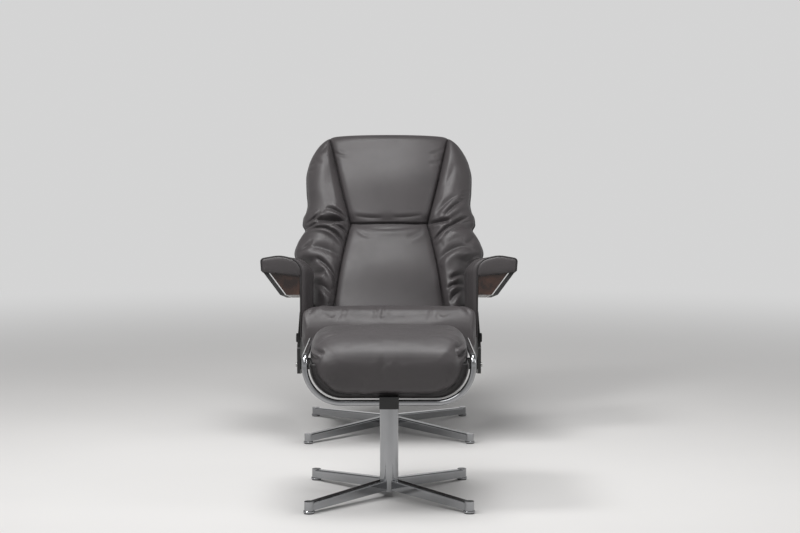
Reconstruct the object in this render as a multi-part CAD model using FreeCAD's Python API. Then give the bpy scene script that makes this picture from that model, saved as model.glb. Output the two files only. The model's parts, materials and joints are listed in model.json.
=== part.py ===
import FreeCAD, Part
import math
import os

# Swivel recliner with a matching footstool, in millimetres.
# The chair faces -Y, +Z is up, and the origin lies on the floor in the middle of the set.
# Left and right are named for someone who looks at the chair from the front: left is -X.

# The set
AXIS_SPACING = 1005.0          # chair column axis to stool column axis
SOFT_GAP = 0.3                 # clearance round soft pieces
RUN_CLEARANCE = 0.05           # radial clearance of pins and spindles that turn
BOLT_CLEARANCE = 0.1           # radial clearance of fixed bolts in their holes
CUT_OVERRUN = 5.0              # how far cutting tools reach past a face
ROLLED_STATION_SHARES = (-1, -0.975, -0.92, -0.8, -0.4, 0, 0.4, 0.8, 0.92, 0.975, 1)
ROLLED_FULL_SHARES = (0.45, 0.72, 0.88, 0.96, 1, 1, 1, 0.96, 0.88, 0.72, 0.45)

# Star bases, shared by chair and stool
LEG_COUNT = 4
CHAIR_FOOT_REACH = 363.0       # column axis to glide centre
STOOL_FOOT_REACH = 291.0
LEG_HUB_WIDTH = 26.0
LEG_FOOT_WIDTH = 22.0
LEG_BOSS_RADIUS = 12.5
LEG_BOSS_RISE = 1.5            # boss above the leg's top
LEG_HUB_TOP = 48.0
LEG_HUB_BOTTOM = 20.0
LEG_FOOT_TOP = 30.0
LEG_EDGE_RADIUS = 4.0
SOLE_THICKNESS = 3.0
SOLE_RADIUS = 13.0
DISC_THICKNESS = 5.0
DISC_RADIUS = 15.0
STEM_RADIUS = 4.0
STEM_LENGTH = 14.0
COLUMN_RADIUS = 25.0
COLUMN_WALL = 4.0
COLUMN_BOTTOM = 15.0
LEG_BOLT_RADIUS = 4.0
LEG_BOLT_HEAD_RADIUS = 6.5
LEG_BOLT_HEAD_LENGTH = 6.0
LEG_BOLT_GRIP = 22.0
BUSH_LENGTH = 70.0
BUSH_FLANGE = 3.0
SPINDLE_RADIUS = 17.0
SPINDLE_TAIL = 10.0            # spindle below the bush
SPINDLE_HEAD_RADIUS = 45.0
SPINDLE_HEAD = 12.0
THRUST_GAP = 0.3

# Seat, written in a frame that starts at its lower front edge and tilts back
SEAT_TILT = 6.0                # degrees
SEAT_FRONT_BOTTOM = 300.0      # height of the lower front edge
SEAT_ROLL_DEPTH = 143.0
SEAT_ROLL_OVERHANG = 33.0      # front roll past the sides of the seat
SEAT_HALF = 235.0
SEAT_BACK_GAP = 65.0           # cushion end in front of the recline pivot
SEAT_EDGE_HEIGHT = 138.0
SEAT_CROWN = 15.0
SEAT_SIDE_BULGE = 4.0
SEAT_DRAW_IN = 5.0
SEAT_ROLL_STATION_SHARES = (0, 0.05, 0.15, 0.32, 0.65, 1)
SEAT_ROLL_FULL_SHARES = (0.5, 0.74, 0.9, 0.98, 1, 1)
SEAT_STATION_SHARES = (0, 0.25, 0.5, 0.75, 0.9, 0.97, 1)
SEAT_FULL_SHARES = (1, 1, 1, 0.98, 0.93, 0.83, 0.65)
SEAT_DRAW_SHARES = (0, 0.6, 1, 0.8, 0.4, 0.1, 0)
SEAT_RAIL_WIDTH = 28.0
SEAT_RAIL_HEIGHT = 28.0
SEAT_RAIL_INSET = 17.0         # side rails inside the cushion edge
SEAT_FRAME_INSET = 17.0         # cushion past the end of its frame
WEBBING_THICKNESS = 2.0
WEBBING_WIDTH = 55.0
WEBBING_COUNT = 5
SHOE_HEIGHT = 12.0
SHOE_LENGTH = 60.0
SHOE_WIDTH = 22.0
RUNNER_HEIGHT = 20.0
RUNNER_WIDTH = 22.0
BEAM_HEIGHT = 30.0
BEAM_DEPTH = 24.0
BEAM_FRONT_OFFSET = 195.0      # seat front to the middle of the front beam
BEAM_PIVOT_GAP = 80.0          # middle of the rear beam in front of the recline pivot
SWIVEL_PLATE_THICKNESS = 6.0
SWIVEL_PLATE_HALF = 92.0
PLATE_BOLT_RADIUS = 4.0
PLATE_BOLT_HEAD_RADIUS = 7.0
PLATE_BOLT_HEAD = 5.0
PLATE_BOLT_GRIP = 14.0

# Recline pivot, side plates and tension knobs
PIVOT_SETBACK = 510.0          # behind the seat front
PIVOT_Y = 120.0                # behind the column axis
PIVOT_RISE = 87.0              # above the lower front edge of the seat
PIVOT_BOLT_RADIUS = 8.0
PIVOT_HEAD_RADIUS = 10.0
PIVOT_HEAD = 7.0
PIVOT_WASHER = 2.0
SIDE_PLATE_THICKNESS = 10.0
SIDE_PLATE_START = 175.0       # plate front behind the seat front
SIDE_PLATE_HEIGHT = 235.0
SIDE_PLATE_EYE = 30.0          # plate rear edge behind the pivot
SIDE_PLATE_SHARES = ((0, 0.15), (0.8, 0), (1, 0.66), (1, 0.94), (0.85, 1), (0.42, 0.92), (0, 0.5))
SIDE_PLATE_CORNER = 12.0
KNOB_RADIUS = 15.5
KNOB_LENGTH = 18.5
KNOB_STUD_RADIUS = 5.0
KNOB_DROP = 87.0               # below the pivot
KNOB_FORWARD = 60.0            # in front of the pivot
KNOB_GROOVES = 10
KNOB_GROOVE_RADIUS = 2.2

# Armrests, written in a frame that starts under the front of the pad and slopes to the rear
ARM_SLOPE = 7.0                # degrees
ARM_SETBACK = 165.0            # pad front behind the seat front
ARM_RISE = 244.0               # pad underside at the front, above the lower front edge of the seat
ARM_PIVOT_GAP = 12.0           # pad end in front of the recline pivot
ARM_SEAT_GAP = 16.0            # seat side to the inner panel
ARM_PANEL_THICKNESS = 33.0
ARM_PAD_WIDTH = 151.0
ARM_PAD_EDGE = 32.0
ARM_PAD_CROWN = 12.0
ARM_PAD_BULGE = 5.0
ARM_PAD_OVERHANG = 4.0
ARM_PANEL_RISE = 30.0          # panel foot above the lower front edge of the seat
ARM_PANEL_SHORT = 58.0         # panel end in front of the pad end
ARM_PANEL_EDGE = 8.0
WEDGE_TOP = 96.0               # width of the walnut wedge at its top
WEDGE_FOOT = 42.0
WEDGE_HEIGHT = 72.0
WEDGE_RECESS = 5.0             # wedge front behind pad front
TRIM_THICKNESS = 4.0
EDGE_BAND_THICKNESS = 16.0

# Back, written in a frame that lies along its side bars: y up the back, z to the front
BACK_LEAN = 26.0               # degrees from upright
HEAD_LEAN = 22.0
HINGE_RISE = 300.0             # recline pivot to head hinge
BAR_WIDTH = 20.0
BAR_DEPTH = 16.0
BAR_KNEE_SHARE = 0.45
PIVOT_EYE_RADIUS = 18.0
HINGE_OUTER = 245.0            # outer side of the bars at the head hinge
HINGE_PIN_RADIUS = 4.0
CROSS_BAR_OFFSET = 30.0
CROSS_BAR_WIDTH = 30.0
PAD_FRONT = 48.0               # edge of the padding in front of the bars
BACK_PAD_START = 10.0
WAIST_GAP = 2.0
BACK_CROWN = 16.0
SEAM_GAP = 1.0
BACK_HALF = 185.0              # centre panel at its foot
WAIST_HALF = 132.0             # centre panel at the head hinge
WING_FOOT_LAP = 11.0           # wing foot behind the inner panel
WING_HALF = 322.0              # wing above the armrests
WING_LIFT = 8.0                # wing edge in front of the centre panel
WING_CROWN = 9.0
PAD_END = 9.0                  # thickness of the padding at its rolled ends
BACK_STATION_SHARES = (0, 0.1, 0.38, 0.62, 0.8, 0.93, 1)
BACK_FULL_SHARES = (0, 0.8, 1, 1, 1, 0.84, 0.3)
BACK_WING_SHARES = (-0.02, 0, 0.06, 0.42, 0.98, 0.86, 0.65)
SHELL_DEPTH = 30.0
SHELL_CROWN = 10.0
SHELL_INSET = 3.0

# Head rest, in the same kind of frame, which starts at the head hinge
HEAD_LENGTH = 334.0
HEAD_PAD_START = 16.0
HEAD_TOP_HALF = 206.0
HEAD_WING_HALF = 286.0
HEAD_CROWN = 15.0
HEAD_STATION_SHARES = (0, 0.11, 0.3, 0.5, 0.7, 0.88, 0.97, 1)
HEAD_FULL_SHARES = (0, 1, 1, 1, 1, 0.95, 0.6, 0.15)
HEAD_WING_SHARES = (0.95, 0.96, 0.97, 1, 0.98, 0.9, 0.8, 0.74)
HEAD_SHELL_SHARES = (1, 1, 1, 1, 1, 0.95, 0.75, 0.4)
HEAD_BAR_LENGTH = 240.0

# Stool top
STOOL_SIDE_INSET = 3.0         # cushion inside the middle of the tube
STOOL_FRONT_OVERHANG = 22.0
STOOL_PAD_EDGE = 35.7          # cushion edge above its overhang
STOOL_CROWN = 15.0
STOOL_SIDE_BULGE = 5.0
STOOL_DRAW_IN = 5.0
TUBE_RADIUS = 8.0
TUBE_WALL = 1.5
TUBE_HALF = 216.0              # middle of the side rails
TUBE_DEPTH_HALF = 190.0        # middle of the cross runs
TUBE_LOW_HEIGHT = 284.0
TUBE_BEND = 24.0               # bend from the side rails down
TUBE_CORNER = 94.0             # round corner from the bend to the cross run
BEAM_BAR_THICKNESS = 9.0
CLAMP_HALF = 25.0
CLAMP_DEPTH = 36.0
CLAMP_BELOW = 6.0              # clamp under the tube
CLAMP_BOLT_RADIUS = 3.0
PAN_WALL = 8.0
PAN_CLEARANCE = 6.0            # pan end to the tube

V = FreeCAD.Vector
ORIGIN = V(0, 0, 0)
X_AXIS = V(1, 0, 0)
Y_AXIS = V(0, 1, 0)
Z_AXIS = V(0, 0, 1)
FULL_TURN = 360.0
QUARTER_TURN = 90.0
SIDES = (("left", -1), ("right", 1))

# Places that follow from the sizes above
FOOT_BOTTOM = SOLE_THICKNESS + DISC_THICKNESS
COLUMN_BORE = COLUMN_RADIUS - COLUMN_WALL
PIVOT_Z = SEAT_FRONT_BOTTOM + PIVOT_RISE
ARM_UNDERSIDE = SEAT_FRONT_BOTTOM + ARM_RISE
ARM_PANEL_BOTTOM = SEAT_FRONT_BOTTOM + ARM_PANEL_RISE
SEAT_REACH = PIVOT_SETBACK - PIVOT_Y
SEAT_ROLL_HALF = SEAT_HALF + SEAT_ROLL_OVERHANG
SEAT_RAIL_OUTER = SEAT_HALF - SEAT_RAIL_INSET
ARM_INNER = SEAT_HALF + ARM_SEAT_GAP
ARM_OUTER = ARM_INNER + ARM_PAD_WIDTH
SIDE_INNER = ARM_INNER + ARM_PANEL_THICKNESS
WING_FOOT_HALF = ARM_INNER + WING_FOOT_LAP
SEAT_LENGTH = PIVOT_SETBACK - SEAT_BACK_GAP
SEAT_PAD_BOTTOM = SHOE_HEIGHT + SEAT_RAIL_HEIGHT + WEBBING_THICKNESS + SOFT_GAP
SEAT_FRAME_FRONT = SEAT_ROLL_DEPTH + SOFT_GAP
SEAT_FRAME_LENGTH = SEAT_LENGTH - SEAT_ROLL_DEPTH - SEAT_FRAME_INSET
ARM_REACH = SEAT_REACH - ARM_SETBACK
ARM_LENGTH = PIVOT_SETBACK - ARM_SETBACK - ARM_PIVOT_GAP
ARM_PANEL_LENGTH = ARM_LENGTH - ARM_PANEL_SHORT
SIDE_PLATE_LENGTH = PIVOT_SETBACK + SIDE_PLATE_EYE - SIDE_PLATE_START
BEAM_REAR_OFFSET = PIVOT_SETBACK - BEAM_PIVOT_GAP
RUNNER_LENGTH = BEAM_REAR_OFFSET - BEAM_FRONT_OFFSET + 2 * BEAM_DEPTH
PLATE_TOP = -RUNNER_HEIGHT - BEAM_HEIGHT
PLATE_BOTTOM = PLATE_TOP - SWIVEL_PLATE_THICKNESS
AXIS_OFFSET = SEAT_REACH / math.cos(math.radians(SEAT_TILT))
PLATE_UNDERSIDE = (SEAT_FRONT_BOTTOM - SEAT_REACH * math.tan(math.radians(SEAT_TILT))
                   + PLATE_BOTTOM / math.cos(math.radians(SEAT_TILT)))
CHAIR_THRUST = PLATE_UNDERSIDE - SPINDLE_HEAD
CHAIR_COLUMN_TOP = CHAIR_THRUST - THRUST_GAP - BUSH_FLANGE
PAD_BACK = BAR_DEPTH / 2 + SOFT_GAP
HINGE_Y = PIVOT_Y + HINGE_RISE * math.sin(math.radians(BACK_LEAN))
HINGE_Z = PIVOT_Z + HINGE_RISE * math.cos(math.radians(BACK_LEAN))
BAR_OUTER = SIDE_INNER - PIVOT_WASHER
CHAIR_REAR_REACH = (HINGE_Y + HEAD_LENGTH * math.sin(math.radians(HEAD_LEAN))
                    + PAD_BACK * math.cos(math.radians(HEAD_LEAN)) + SHELL_DEPTH)
STOOL_HALF = TUBE_HALF - STOOL_SIDE_INSET
STOOL_DEPTH_HALF = TUBE_DEPTH_HALF + STOOL_FRONT_OVERHANG
LEG_SPREAD_SHARE = math.cos(math.pi / LEG_COUNT)
STOOL_FRONT_REACH = max(STOOL_DEPTH_HALF, STOOL_FOOT_REACH * LEG_SPREAD_SHARE + DISC_RADIUS)
CHAIR_AXIS_Y = (AXIS_SPACING + STOOL_FRONT_REACH - CHAIR_REAR_REACH) / 2
STOOL_AXIS_Y = CHAIR_AXIS_Y - AXIS_SPACING
BEAM_BAR_BOTTOM = TUBE_LOW_HEIGHT + TUBE_RADIUS
PAN_BOTTOM = BEAM_BAR_BOTTOM + BEAM_BAR_THICKNESS
STOOL_THRUST = BEAM_BAR_BOTTOM - SPINDLE_HEAD
STOOL_COLUMN_TOP = STOOL_THRUST - THRUST_GAP - BUSH_FLANGE
PAN_RIM = TUBE_LOW_HEIGHT + TUBE_CORNER
PAN_DEPTH_HALF = TUBE_DEPTH_HALF - TUBE_RADIUS - PAN_CLEARANCE
TUBE_RAIL_HEIGHT = PAN_RIM + TUBE_BEND
PAN_FLAT = TUBE_HALF - TUBE_CORNER
STOOL_PAD_BOTTOM = TUBE_RAIL_HEIGHT + TUBE_RADIUS + SOFT_GAP


def save(name, solids, axis_y):
    """Write one piece, moved from its own axis to its place in the set."""
    shape = Part.makeCompound(solids) if len(solids) > 1 else solids[0].copy()
    shape.translate(V(0, axis_y, 0))
    shape.exportStep("parts/" + name + ".step")


def box(x0, x1, y0, y1, z0, z1):
    return Part.makeBox(x1 - x0, y1 - y0, z1 - z0, V(x0, y0, z0))


def rod(radius, start, end):
    return Part.makeCylinder(radius, (end - start).Length, start, end - start)


def prism(points, sweep):
    return Part.Face(Part.makePolygon(points + points[:1])).extrude(sweep)


def line(a, b):
    return Part.LineSegment(a, b).toShape()


def arc(a, middle, b):
    return Part.Arc(a, middle, b).toShape()


def bowed(a, b, bow):
    """Edge from a to b, arched by the vector bow, or straight where there is none."""
    if bow.Length == 0:
        return line(a, b)
    return arc(a, (a + b) / 2 + bow, b)


def pad_section(at, x0, x1, z0, z1, crown, bulge0, bulge1):
    """Outline across a pad: flat underside, arched top, and sides that swell by their bulge."""
    a, b, c, d = V(x0, at, z0), V(x1, at, z0), V(x1, at, z1), V(x0, at, z1)
    edges = [line(a, b), bowed(b, c, V(bulge1, 0, 0))]
    edges += [bowed(c, d, V(0, 0, crown)), bowed(d, a, V(-bulge0, 0, 0))]
    return Part.Wire(edges)


def loft(sections):
    return Part.makeLoft(sections, True, False)


def mirrored(shape, sign):
    """The right-hand shape itself, or its mirror image for the left."""
    return shape if sign > 0 else shape.mirror(ORIGIN, X_AXIS)


def placed(shape, angle, y, z):
    """Turn a piece about X in its own frame, then move that frame's origin to y and z."""
    shape = shape.copy()
    shape.rotate(ORIGIN, X_AXIS, angle)
    shape.translate(V(0, y, z))
    return shape


def in_seat(shape):
    return placed(shape, -SEAT_TILT, -SEAT_REACH, SEAT_FRONT_BOTTOM)


def in_arm(shape):
    return placed(shape, -ARM_SLOPE, -ARM_REACH, ARM_UNDERSIDE)


def in_back(shape):
    return placed(shape, QUARTER_TURN - BACK_LEAN, PIVOT_Y, PIVOT_Z)


def in_head(shape):
    return placed(shape, QUARTER_TURN - HEAD_LEAN, HINGE_Y, HINGE_Z)


def leg_section(x, half, z0, z1):
    return Part.makePolygon([V(x, -half, z0), V(x, half, z0), V(x, half, z1), V(x, -half, z1), V(x, -half, z0)])


def make_leg(reach):
    """Leg along +X: a tapering bar that butts on the column and ends in a round foot boss."""
    hub = leg_section(COLUMN_RADIUS / 2, LEG_HUB_WIDTH / 2, LEG_HUB_BOTTOM, LEG_HUB_TOP)
    foot = leg_section(reach, LEG_FOOT_WIDTH / 2, FOOT_BOTTOM, LEG_FOOT_TOP)
    bar = Part.makeLoft([hub, foot], True, True)
    middle = (LEG_FOOT_TOP + LEG_HUB_BOTTOM) / 2
    long_top = [e for e in bar.Edges if e.Length > reach / 2 and e.CenterOfMass.z > middle]
    bar = bar.makeFillet(LEG_EDGE_RADIUS, long_top)
    boss = rod(LEG_BOSS_RADIUS, V(reach, 0, FOOT_BOTTOM), V(reach, 0, LEG_FOOT_TOP + LEG_BOSS_RISE))
    leg = bar.fuse(boss)
    leg = leg.cut(rod(COLUMN_RADIUS, ORIGIN, V(0, 0, LEG_HUB_TOP + CUT_OVERRUN)))
    stem_top = FOOT_BOTTOM + STEM_LENGTH
    leg = leg.cut(rod(STEM_RADIUS + BOLT_CLEARANCE, V(reach, 0, 0), V(reach, 0, stem_top)))
    height = (LEG_HUB_BOTTOM + LEG_HUB_TOP) / 2
    end = COLUMN_RADIUS + LEG_BOLT_GRIP
    return leg.cut(rod(LEG_BOLT_RADIUS + BOLT_CLEARANCE, V(0, 0, height), V(end, 0, height)))


def make_glide(reach):
    disc = rod(DISC_RADIUS, V(reach, 0, SOLE_THICKNESS), V(reach, 0, FOOT_BOTTOM))
    rim = [e for e in disc.Edges if e.Closed and e.CenterOfMass.z > FOOT_BOTTOM - DISC_THICKNESS / 2]
    disc = disc.makeChamfer(DISC_THICKNESS / 4, rim)
    stem = rod(STEM_RADIUS, V(reach, 0, FOOT_BOTTOM), V(reach, 0, FOOT_BOTTOM + STEM_LENGTH))
    return disc.fuse(stem)


def make_leg_bolt():
    height = (LEG_HUB_BOTTOM + LEG_HUB_TOP) / 2
    seat = COLUMN_BORE - LEG_BOLT_HEAD_LENGTH / 4
    head = rod(LEG_BOLT_HEAD_RADIUS, V(seat - LEG_BOLT_HEAD_LENGTH, 0, height), V(seat, 0, height))
    end = COLUMN_RADIUS + LEG_BOLT_GRIP
    shank = rod(LEG_BOLT_RADIUS, V(seat, 0, height), V(end, 0, height))
    return head.fuse(shank)


def around(shape):
    """Copies of a piece on every leg, at the diagonals."""
    copies = []
    for number in range(LEG_COUNT):
        copy = shape.copy()
        copy.rotate(ORIGIN, Z_AXIS, FULL_TURN * (number + 0.5) / LEG_COUNT)
        copies.append(copy)
    return copies


def make_base(name, reach, column_top, axis_y):
    bolts = around(make_leg_bolt())
    column = rod(COLUMN_RADIUS, V(0, 0, COLUMN_BOTTOM), V(0, 0, column_top))
    column = column.cut(rod(COLUMN_BORE, ORIGIN, V(0, 0, column_top + CUT_OVERRUN)))
    height = (LEG_HUB_BOTTOM + LEG_HUB_TOP) / 2
    hole = rod(LEG_BOLT_RADIUS + BOLT_CLEARANCE, V(0, 0, height), V(COLUMN_RADIUS + CUT_OVERRUN, 0, height))
    for cutter in around(hole):
        column = column.cut(cutter)
    flange_top = column_top + BUSH_FLANGE
    bush = rod(COLUMN_BORE, V(0, 0, column_top - BUSH_LENGTH), V(0, 0, column_top))
    bush = bush.fuse(rod(COLUMN_RADIUS, V(0, 0, column_top), V(0, 0, flange_top)))
    bush = bush.cut(rod(SPINDLE_RADIUS + RUN_CLEARANCE, ORIGIN, V(0, 0, flange_top + CUT_OVERRUN)))
    sole = rod(SOLE_RADIUS, V(reach, 0, 0), V(reach, 0, SOLE_THICKNESS))
    save(name + "_legs", around(make_leg(reach)), axis_y)
    save(name + "_column", [column], axis_y)
    save(name + "_glide_discs", around(make_glide(reach)), axis_y)
    save(name + "_glide_soles", around(sole), axis_y)
    save(name + "_leg_bolts", bolts, axis_y)
    save(name + "_swivel_bush", [bush], axis_y)


def make_spindle(column_top, thrust, head_top):
    shaft = rod(SPINDLE_RADIUS, V(0, 0, column_top - BUSH_LENGTH - SPINDLE_TAIL), V(0, 0, thrust))
    return shaft.fuse(rod(SPINDLE_HEAD_RADIUS, V(0, 0, thrust), V(0, 0, head_top)))


def make_chassis(axis_y):
    plate_front = BEAM_FRONT_OFFSET - BEAM_DEPTH / 2
    plate_rear = BEAM_REAR_OFFSET + BEAM_DEPTH / 2
    spindle = make_spindle(CHAIR_COLUMN_TOP, CHAIR_THRUST, PLATE_UNDERSIDE + SPINDLE_HEAD)
    reach = SPINDLE_HEAD_RADIUS + CUT_OVERRUN
    above = box(-reach, reach, AXIS_OFFSET - 2 * reach, AXIS_OFFSET + 2 * reach, PLATE_BOTTOM, 0)
    save("swivel_spindle", [spindle.cut(in_seat(above))], axis_y)
    plate = box(-SWIVEL_PLATE_HALF, SWIVEL_PLATE_HALF, plate_front, plate_rear, PLATE_BOTTOM, PLATE_TOP)
    bolts = []
    for sign in (-1, 1):
        for y in (BEAM_FRONT_OFFSET, BEAM_REAR_OFFSET):
            x = sign * (SWIVEL_PLATE_HALF - 2 * PLATE_BOLT_HEAD_RADIUS)
            top = V(x, y, PLATE_TOP + PLATE_BOLT_GRIP)
            plate = plate.cut(rod(PLATE_BOLT_RADIUS + BOLT_CLEARANCE, V(x, y, PLATE_BOTTOM - CUT_OVERRUN), top))
            head = rod(PLATE_BOLT_HEAD_RADIUS, V(x, y, PLATE_BOTTOM - PLATE_BOLT_HEAD), V(x, y, PLATE_BOTTOM))
            bolts.append(in_seat(head.fuse(rod(PLATE_BOLT_RADIUS, V(x, y, PLATE_BOTTOM), top))))
    side_outer = SIDE_INNER + SIDE_PLATE_THICKNESS
    holes = [rod(PIVOT_BOLT_RADIUS + BOLT_CLEARANCE, V(0, PIVOT_Y, PIVOT_Z), V(side_outer, PIVOT_Y, PIVOT_Z))]
    knob_y, knob_z = PIVOT_Y - KNOB_FORWARD, PIVOT_Z - KNOB_DROP
    holes.append(rod(KNOB_STUD_RADIUS + RUN_CLEARANCE, V(SIDE_INNER, knob_y, knob_z), V(side_outer, knob_y, knob_z)))
    for name, y in (("front", BEAM_FRONT_OFFSET), ("rear", BEAM_REAR_OFFSET)):
        beam = box(-SIDE_INNER, SIDE_INNER, y - BEAM_DEPTH / 2, y + BEAM_DEPTH / 2, PLATE_TOP, -RUNNER_HEIGHT)
        middle = -RUNNER_HEIGHT - BEAM_HEIGHT / 2
        for sign in (-1, 1):
            x = sign * (SWIVEL_PLATE_HALF - 2 * PLATE_BOLT_HEAD_RADIUS)
            top = V(x, y, PLATE_TOP + PLATE_BOLT_GRIP)
            beam = beam.cut(rod(PLATE_BOLT_RADIUS + BOLT_CLEARANCE, V(x, y, PLATE_BOTTOM), top))
            inner = V(sign * (SIDE_INNER - PLATE_BOLT_GRIP), y, middle)
            outer = V(sign * side_outer, y, middle)
            beam = beam.cut(rod(PLATE_BOLT_RADIUS + BOLT_CLEARANCE, inner, outer))
            head = rod(PLATE_BOLT_HEAD_RADIUS, outer, V(sign * (side_outer + PLATE_BOLT_HEAD), y, middle))
            bolts.append(in_seat(head.fuse(rod(PLATE_BOLT_RADIUS, inner, outer))))
        holes.append(in_seat(rod(PLATE_BOLT_RADIUS + BOLT_CLEARANCE, V(0, y, middle), V(side_outer, y, middle))))
        save(name + "_cross_beam", [in_seat(beam)], axis_y)
    save("swivel_plate", [in_seat(plate)], axis_y)
    save("chassis_bolts", bolts, axis_y)
    runner_front = BEAM_FRONT_OFFSET - BEAM_DEPTH
    runner_outer = SEAT_RAIL_OUTER - (SEAT_RAIL_WIDTH - RUNNER_WIDTH) / 2
    runner = box(runner_outer - RUNNER_WIDTH, runner_outer, runner_front,
                 runner_front + RUNNER_LENGTH, -RUNNER_HEIGHT, 0)
    side_plate = make_side_plate(holes)
    bolt = make_pivot_bolt()
    for side, sign in SIDES:
        save("seat_runner_" + side, [mirrored(in_seat(runner), sign)], axis_y)
        save("side_plate_" + side, [mirrored(side_plate, sign)], axis_y)
    save("recline_pivot_bolts", [mirrored(bolt, sign) for side, sign in SIDES], axis_y)


def make_side_plate(holes):
    y0 = PIVOT_Y + SIDE_PLATE_EYE - SIDE_PLATE_LENGTH
    z0 = PIVOT_Z + SIDE_PLATE_EYE - SIDE_PLATE_HEIGHT
    outline = [V(SIDE_INNER, y0 + along * SIDE_PLATE_LENGTH, z0 + up * SIDE_PLATE_HEIGHT)
               for along, up in SIDE_PLATE_SHARES]
    plate = prism(outline, V(SIDE_PLATE_THICKNESS, 0, 0))
    corners = [e for e in plate.Edges if abs(e.Length - SIDE_PLATE_THICKNESS) < SOFT_GAP]
    plate = plate.makeFillet(SIDE_PLATE_CORNER, corners)
    for hole in holes:
        plate = plate.cut(hole)
    return plate


def make_pivot_bolt():
    """Bolt with a head outside the plate, a shoulder washer inside it and a pin for the back's eye."""
    outer = SIDE_INNER + SIDE_PLATE_THICKNESS
    stations = ((PIVOT_BOLT_RADIUS, BAR_OUTER - BAR_WIDTH, outer), (PIVOT_HEAD_RADIUS, outer, outer + PIVOT_HEAD))
    parts = [rod(r, V(x0, PIVOT_Y, PIVOT_Z), V(x1, PIVOT_Y, PIVOT_Z)) for r, x0, x1 in stations]
    washer = rod(PIVOT_HEAD_RADIUS, V(BAR_OUTER + SOFT_GAP, PIVOT_Y, PIVOT_Z), V(SIDE_INNER, PIVOT_Y, PIVOT_Z))
    return parts[0].fuse(parts[1]).fuse(washer)


def make_knobs(axis_y):
    """Ribbed hand knobs whose studs turn in the side plates."""
    y, z = PIVOT_Y - KNOB_FORWARD, PIVOT_Z - KNOB_DROP
    face = SIDE_INNER + SIDE_PLATE_THICKNESS + SOFT_GAP
    knob = rod(KNOB_RADIUS, V(face, y, z), V(face + KNOB_LENGTH, y, z))
    rim = [e for e in knob.Edges if e.Closed and e.CenterOfMass.x > face + KNOB_LENGTH / 2]
    knob = knob.makeFillet(KNOB_LENGTH / 6, rim)
    for number in range(KNOB_GROOVES):
        turn = 2 * math.pi * number / KNOB_GROOVES
        gy, gz = y + KNOB_RADIUS * math.cos(turn), z + KNOB_RADIUS * math.sin(turn)
        start = V(face + KNOB_LENGTH / 4, gy, gz)
        knob = knob.cut(rod(KNOB_GROOVE_RADIUS, start, V(face + KNOB_LENGTH + CUT_OVERRUN, gy, gz)))
    knob = knob.fuse(rod(KNOB_STUD_RADIUS, V(SIDE_INNER + SOFT_GAP, y, z), V(face, y, z)))
    for side, sign in SIDES:
        save("tension_knob_" + side, [mirrored(knob, sign)], axis_y)


def make_armrests(axis_y):
    panel_outer = SIDE_INNER
    pad = []
    overhang = ARM_PAD_OVERHANG
    for share, full in zip(ROLLED_STATION_SHARES, ROLLED_FULL_SHARES):
        edge = SOFT_GAP + ARM_PAD_EDGE * (1 + full) / 2
        inset = ARM_PAD_EDGE * (1 - full) / 4
        pad.append(pad_section(ARM_LENGTH * (1 + share) / 2, ARM_INNER - overhang + inset, ARM_OUTER - inset, SOFT_GAP,
                               edge, ARM_PAD_CROWN * full, 0, ARM_PAD_BULGE * full))
    pad = in_arm(loft(pad))
    y0 = ARM_PAD_OVERHANG - ARM_REACH
    slope = math.tan(math.radians(ARM_SLOPE))
    top0 = ARM_UNDERSIDE - ARM_PAD_OVERHANG * slope
    panel = prism([V(ARM_INNER, y0, ARM_PANEL_BOTTOM), V(ARM_INNER, y0 + ARM_PANEL_LENGTH, ARM_PANEL_BOTTOM),
                   V(ARM_INNER, y0 + ARM_PANEL_LENGTH, top0 - ARM_PANEL_LENGTH * slope), V(ARM_INNER, y0, top0)],
                  V(panel_outer - ARM_INNER, 0, 0))
    rounded = [e for e in panel.Edges if e.CenterOfMass.x < ARM_INNER + SOFT_GAP]
    panel = panel.makeFillet(ARM_PANEL_EDGE, rounded)
    start, length = WEDGE_RECESS, ARM_LENGTH - 2 * WEDGE_RECESS
    foot = V(panel_outer + WEDGE_FOOT, start, -WEDGE_HEIGHT)
    shoulder = V(panel_outer + WEDGE_TOP, start, 0)
    inner_x = panel_outer + SOFT_GAP
    sweep = V(0, length, 0)
    wedge = prism([V(inner_x, start, 0), V(inner_x, start, -WEDGE_HEIGHT), foot, shoulder], sweep)
    trim_out = V(TRIM_THICKNESS, 0, 0)
    band_out = V(TRIM_THICKNESS + EDGE_BAND_THICKNESS, 0, 0)
    trim = prism([foot, foot + trim_out, shoulder + trim_out, shoulder], sweep)
    band = prism([foot + trim_out, foot + band_out, shoulder + band_out, shoulder + trim_out], sweep)
    for side, sign in SIDES:
        save("arm_pad_" + side, [mirrored(pad, sign)], axis_y)
        save("arm_panel_" + side, [mirrored(panel, sign)], axis_y)
        save("arm_wedge_" + side, [mirrored(in_arm(wedge), sign)], axis_y)
    save("arm_trims", [mirrored(in_arm(trim), sign) for side, sign in SIDES], axis_y)
    save("arm_edge_bands", [mirrored(in_arm(band), sign) for side, sign in SIDES], axis_y)


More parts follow.
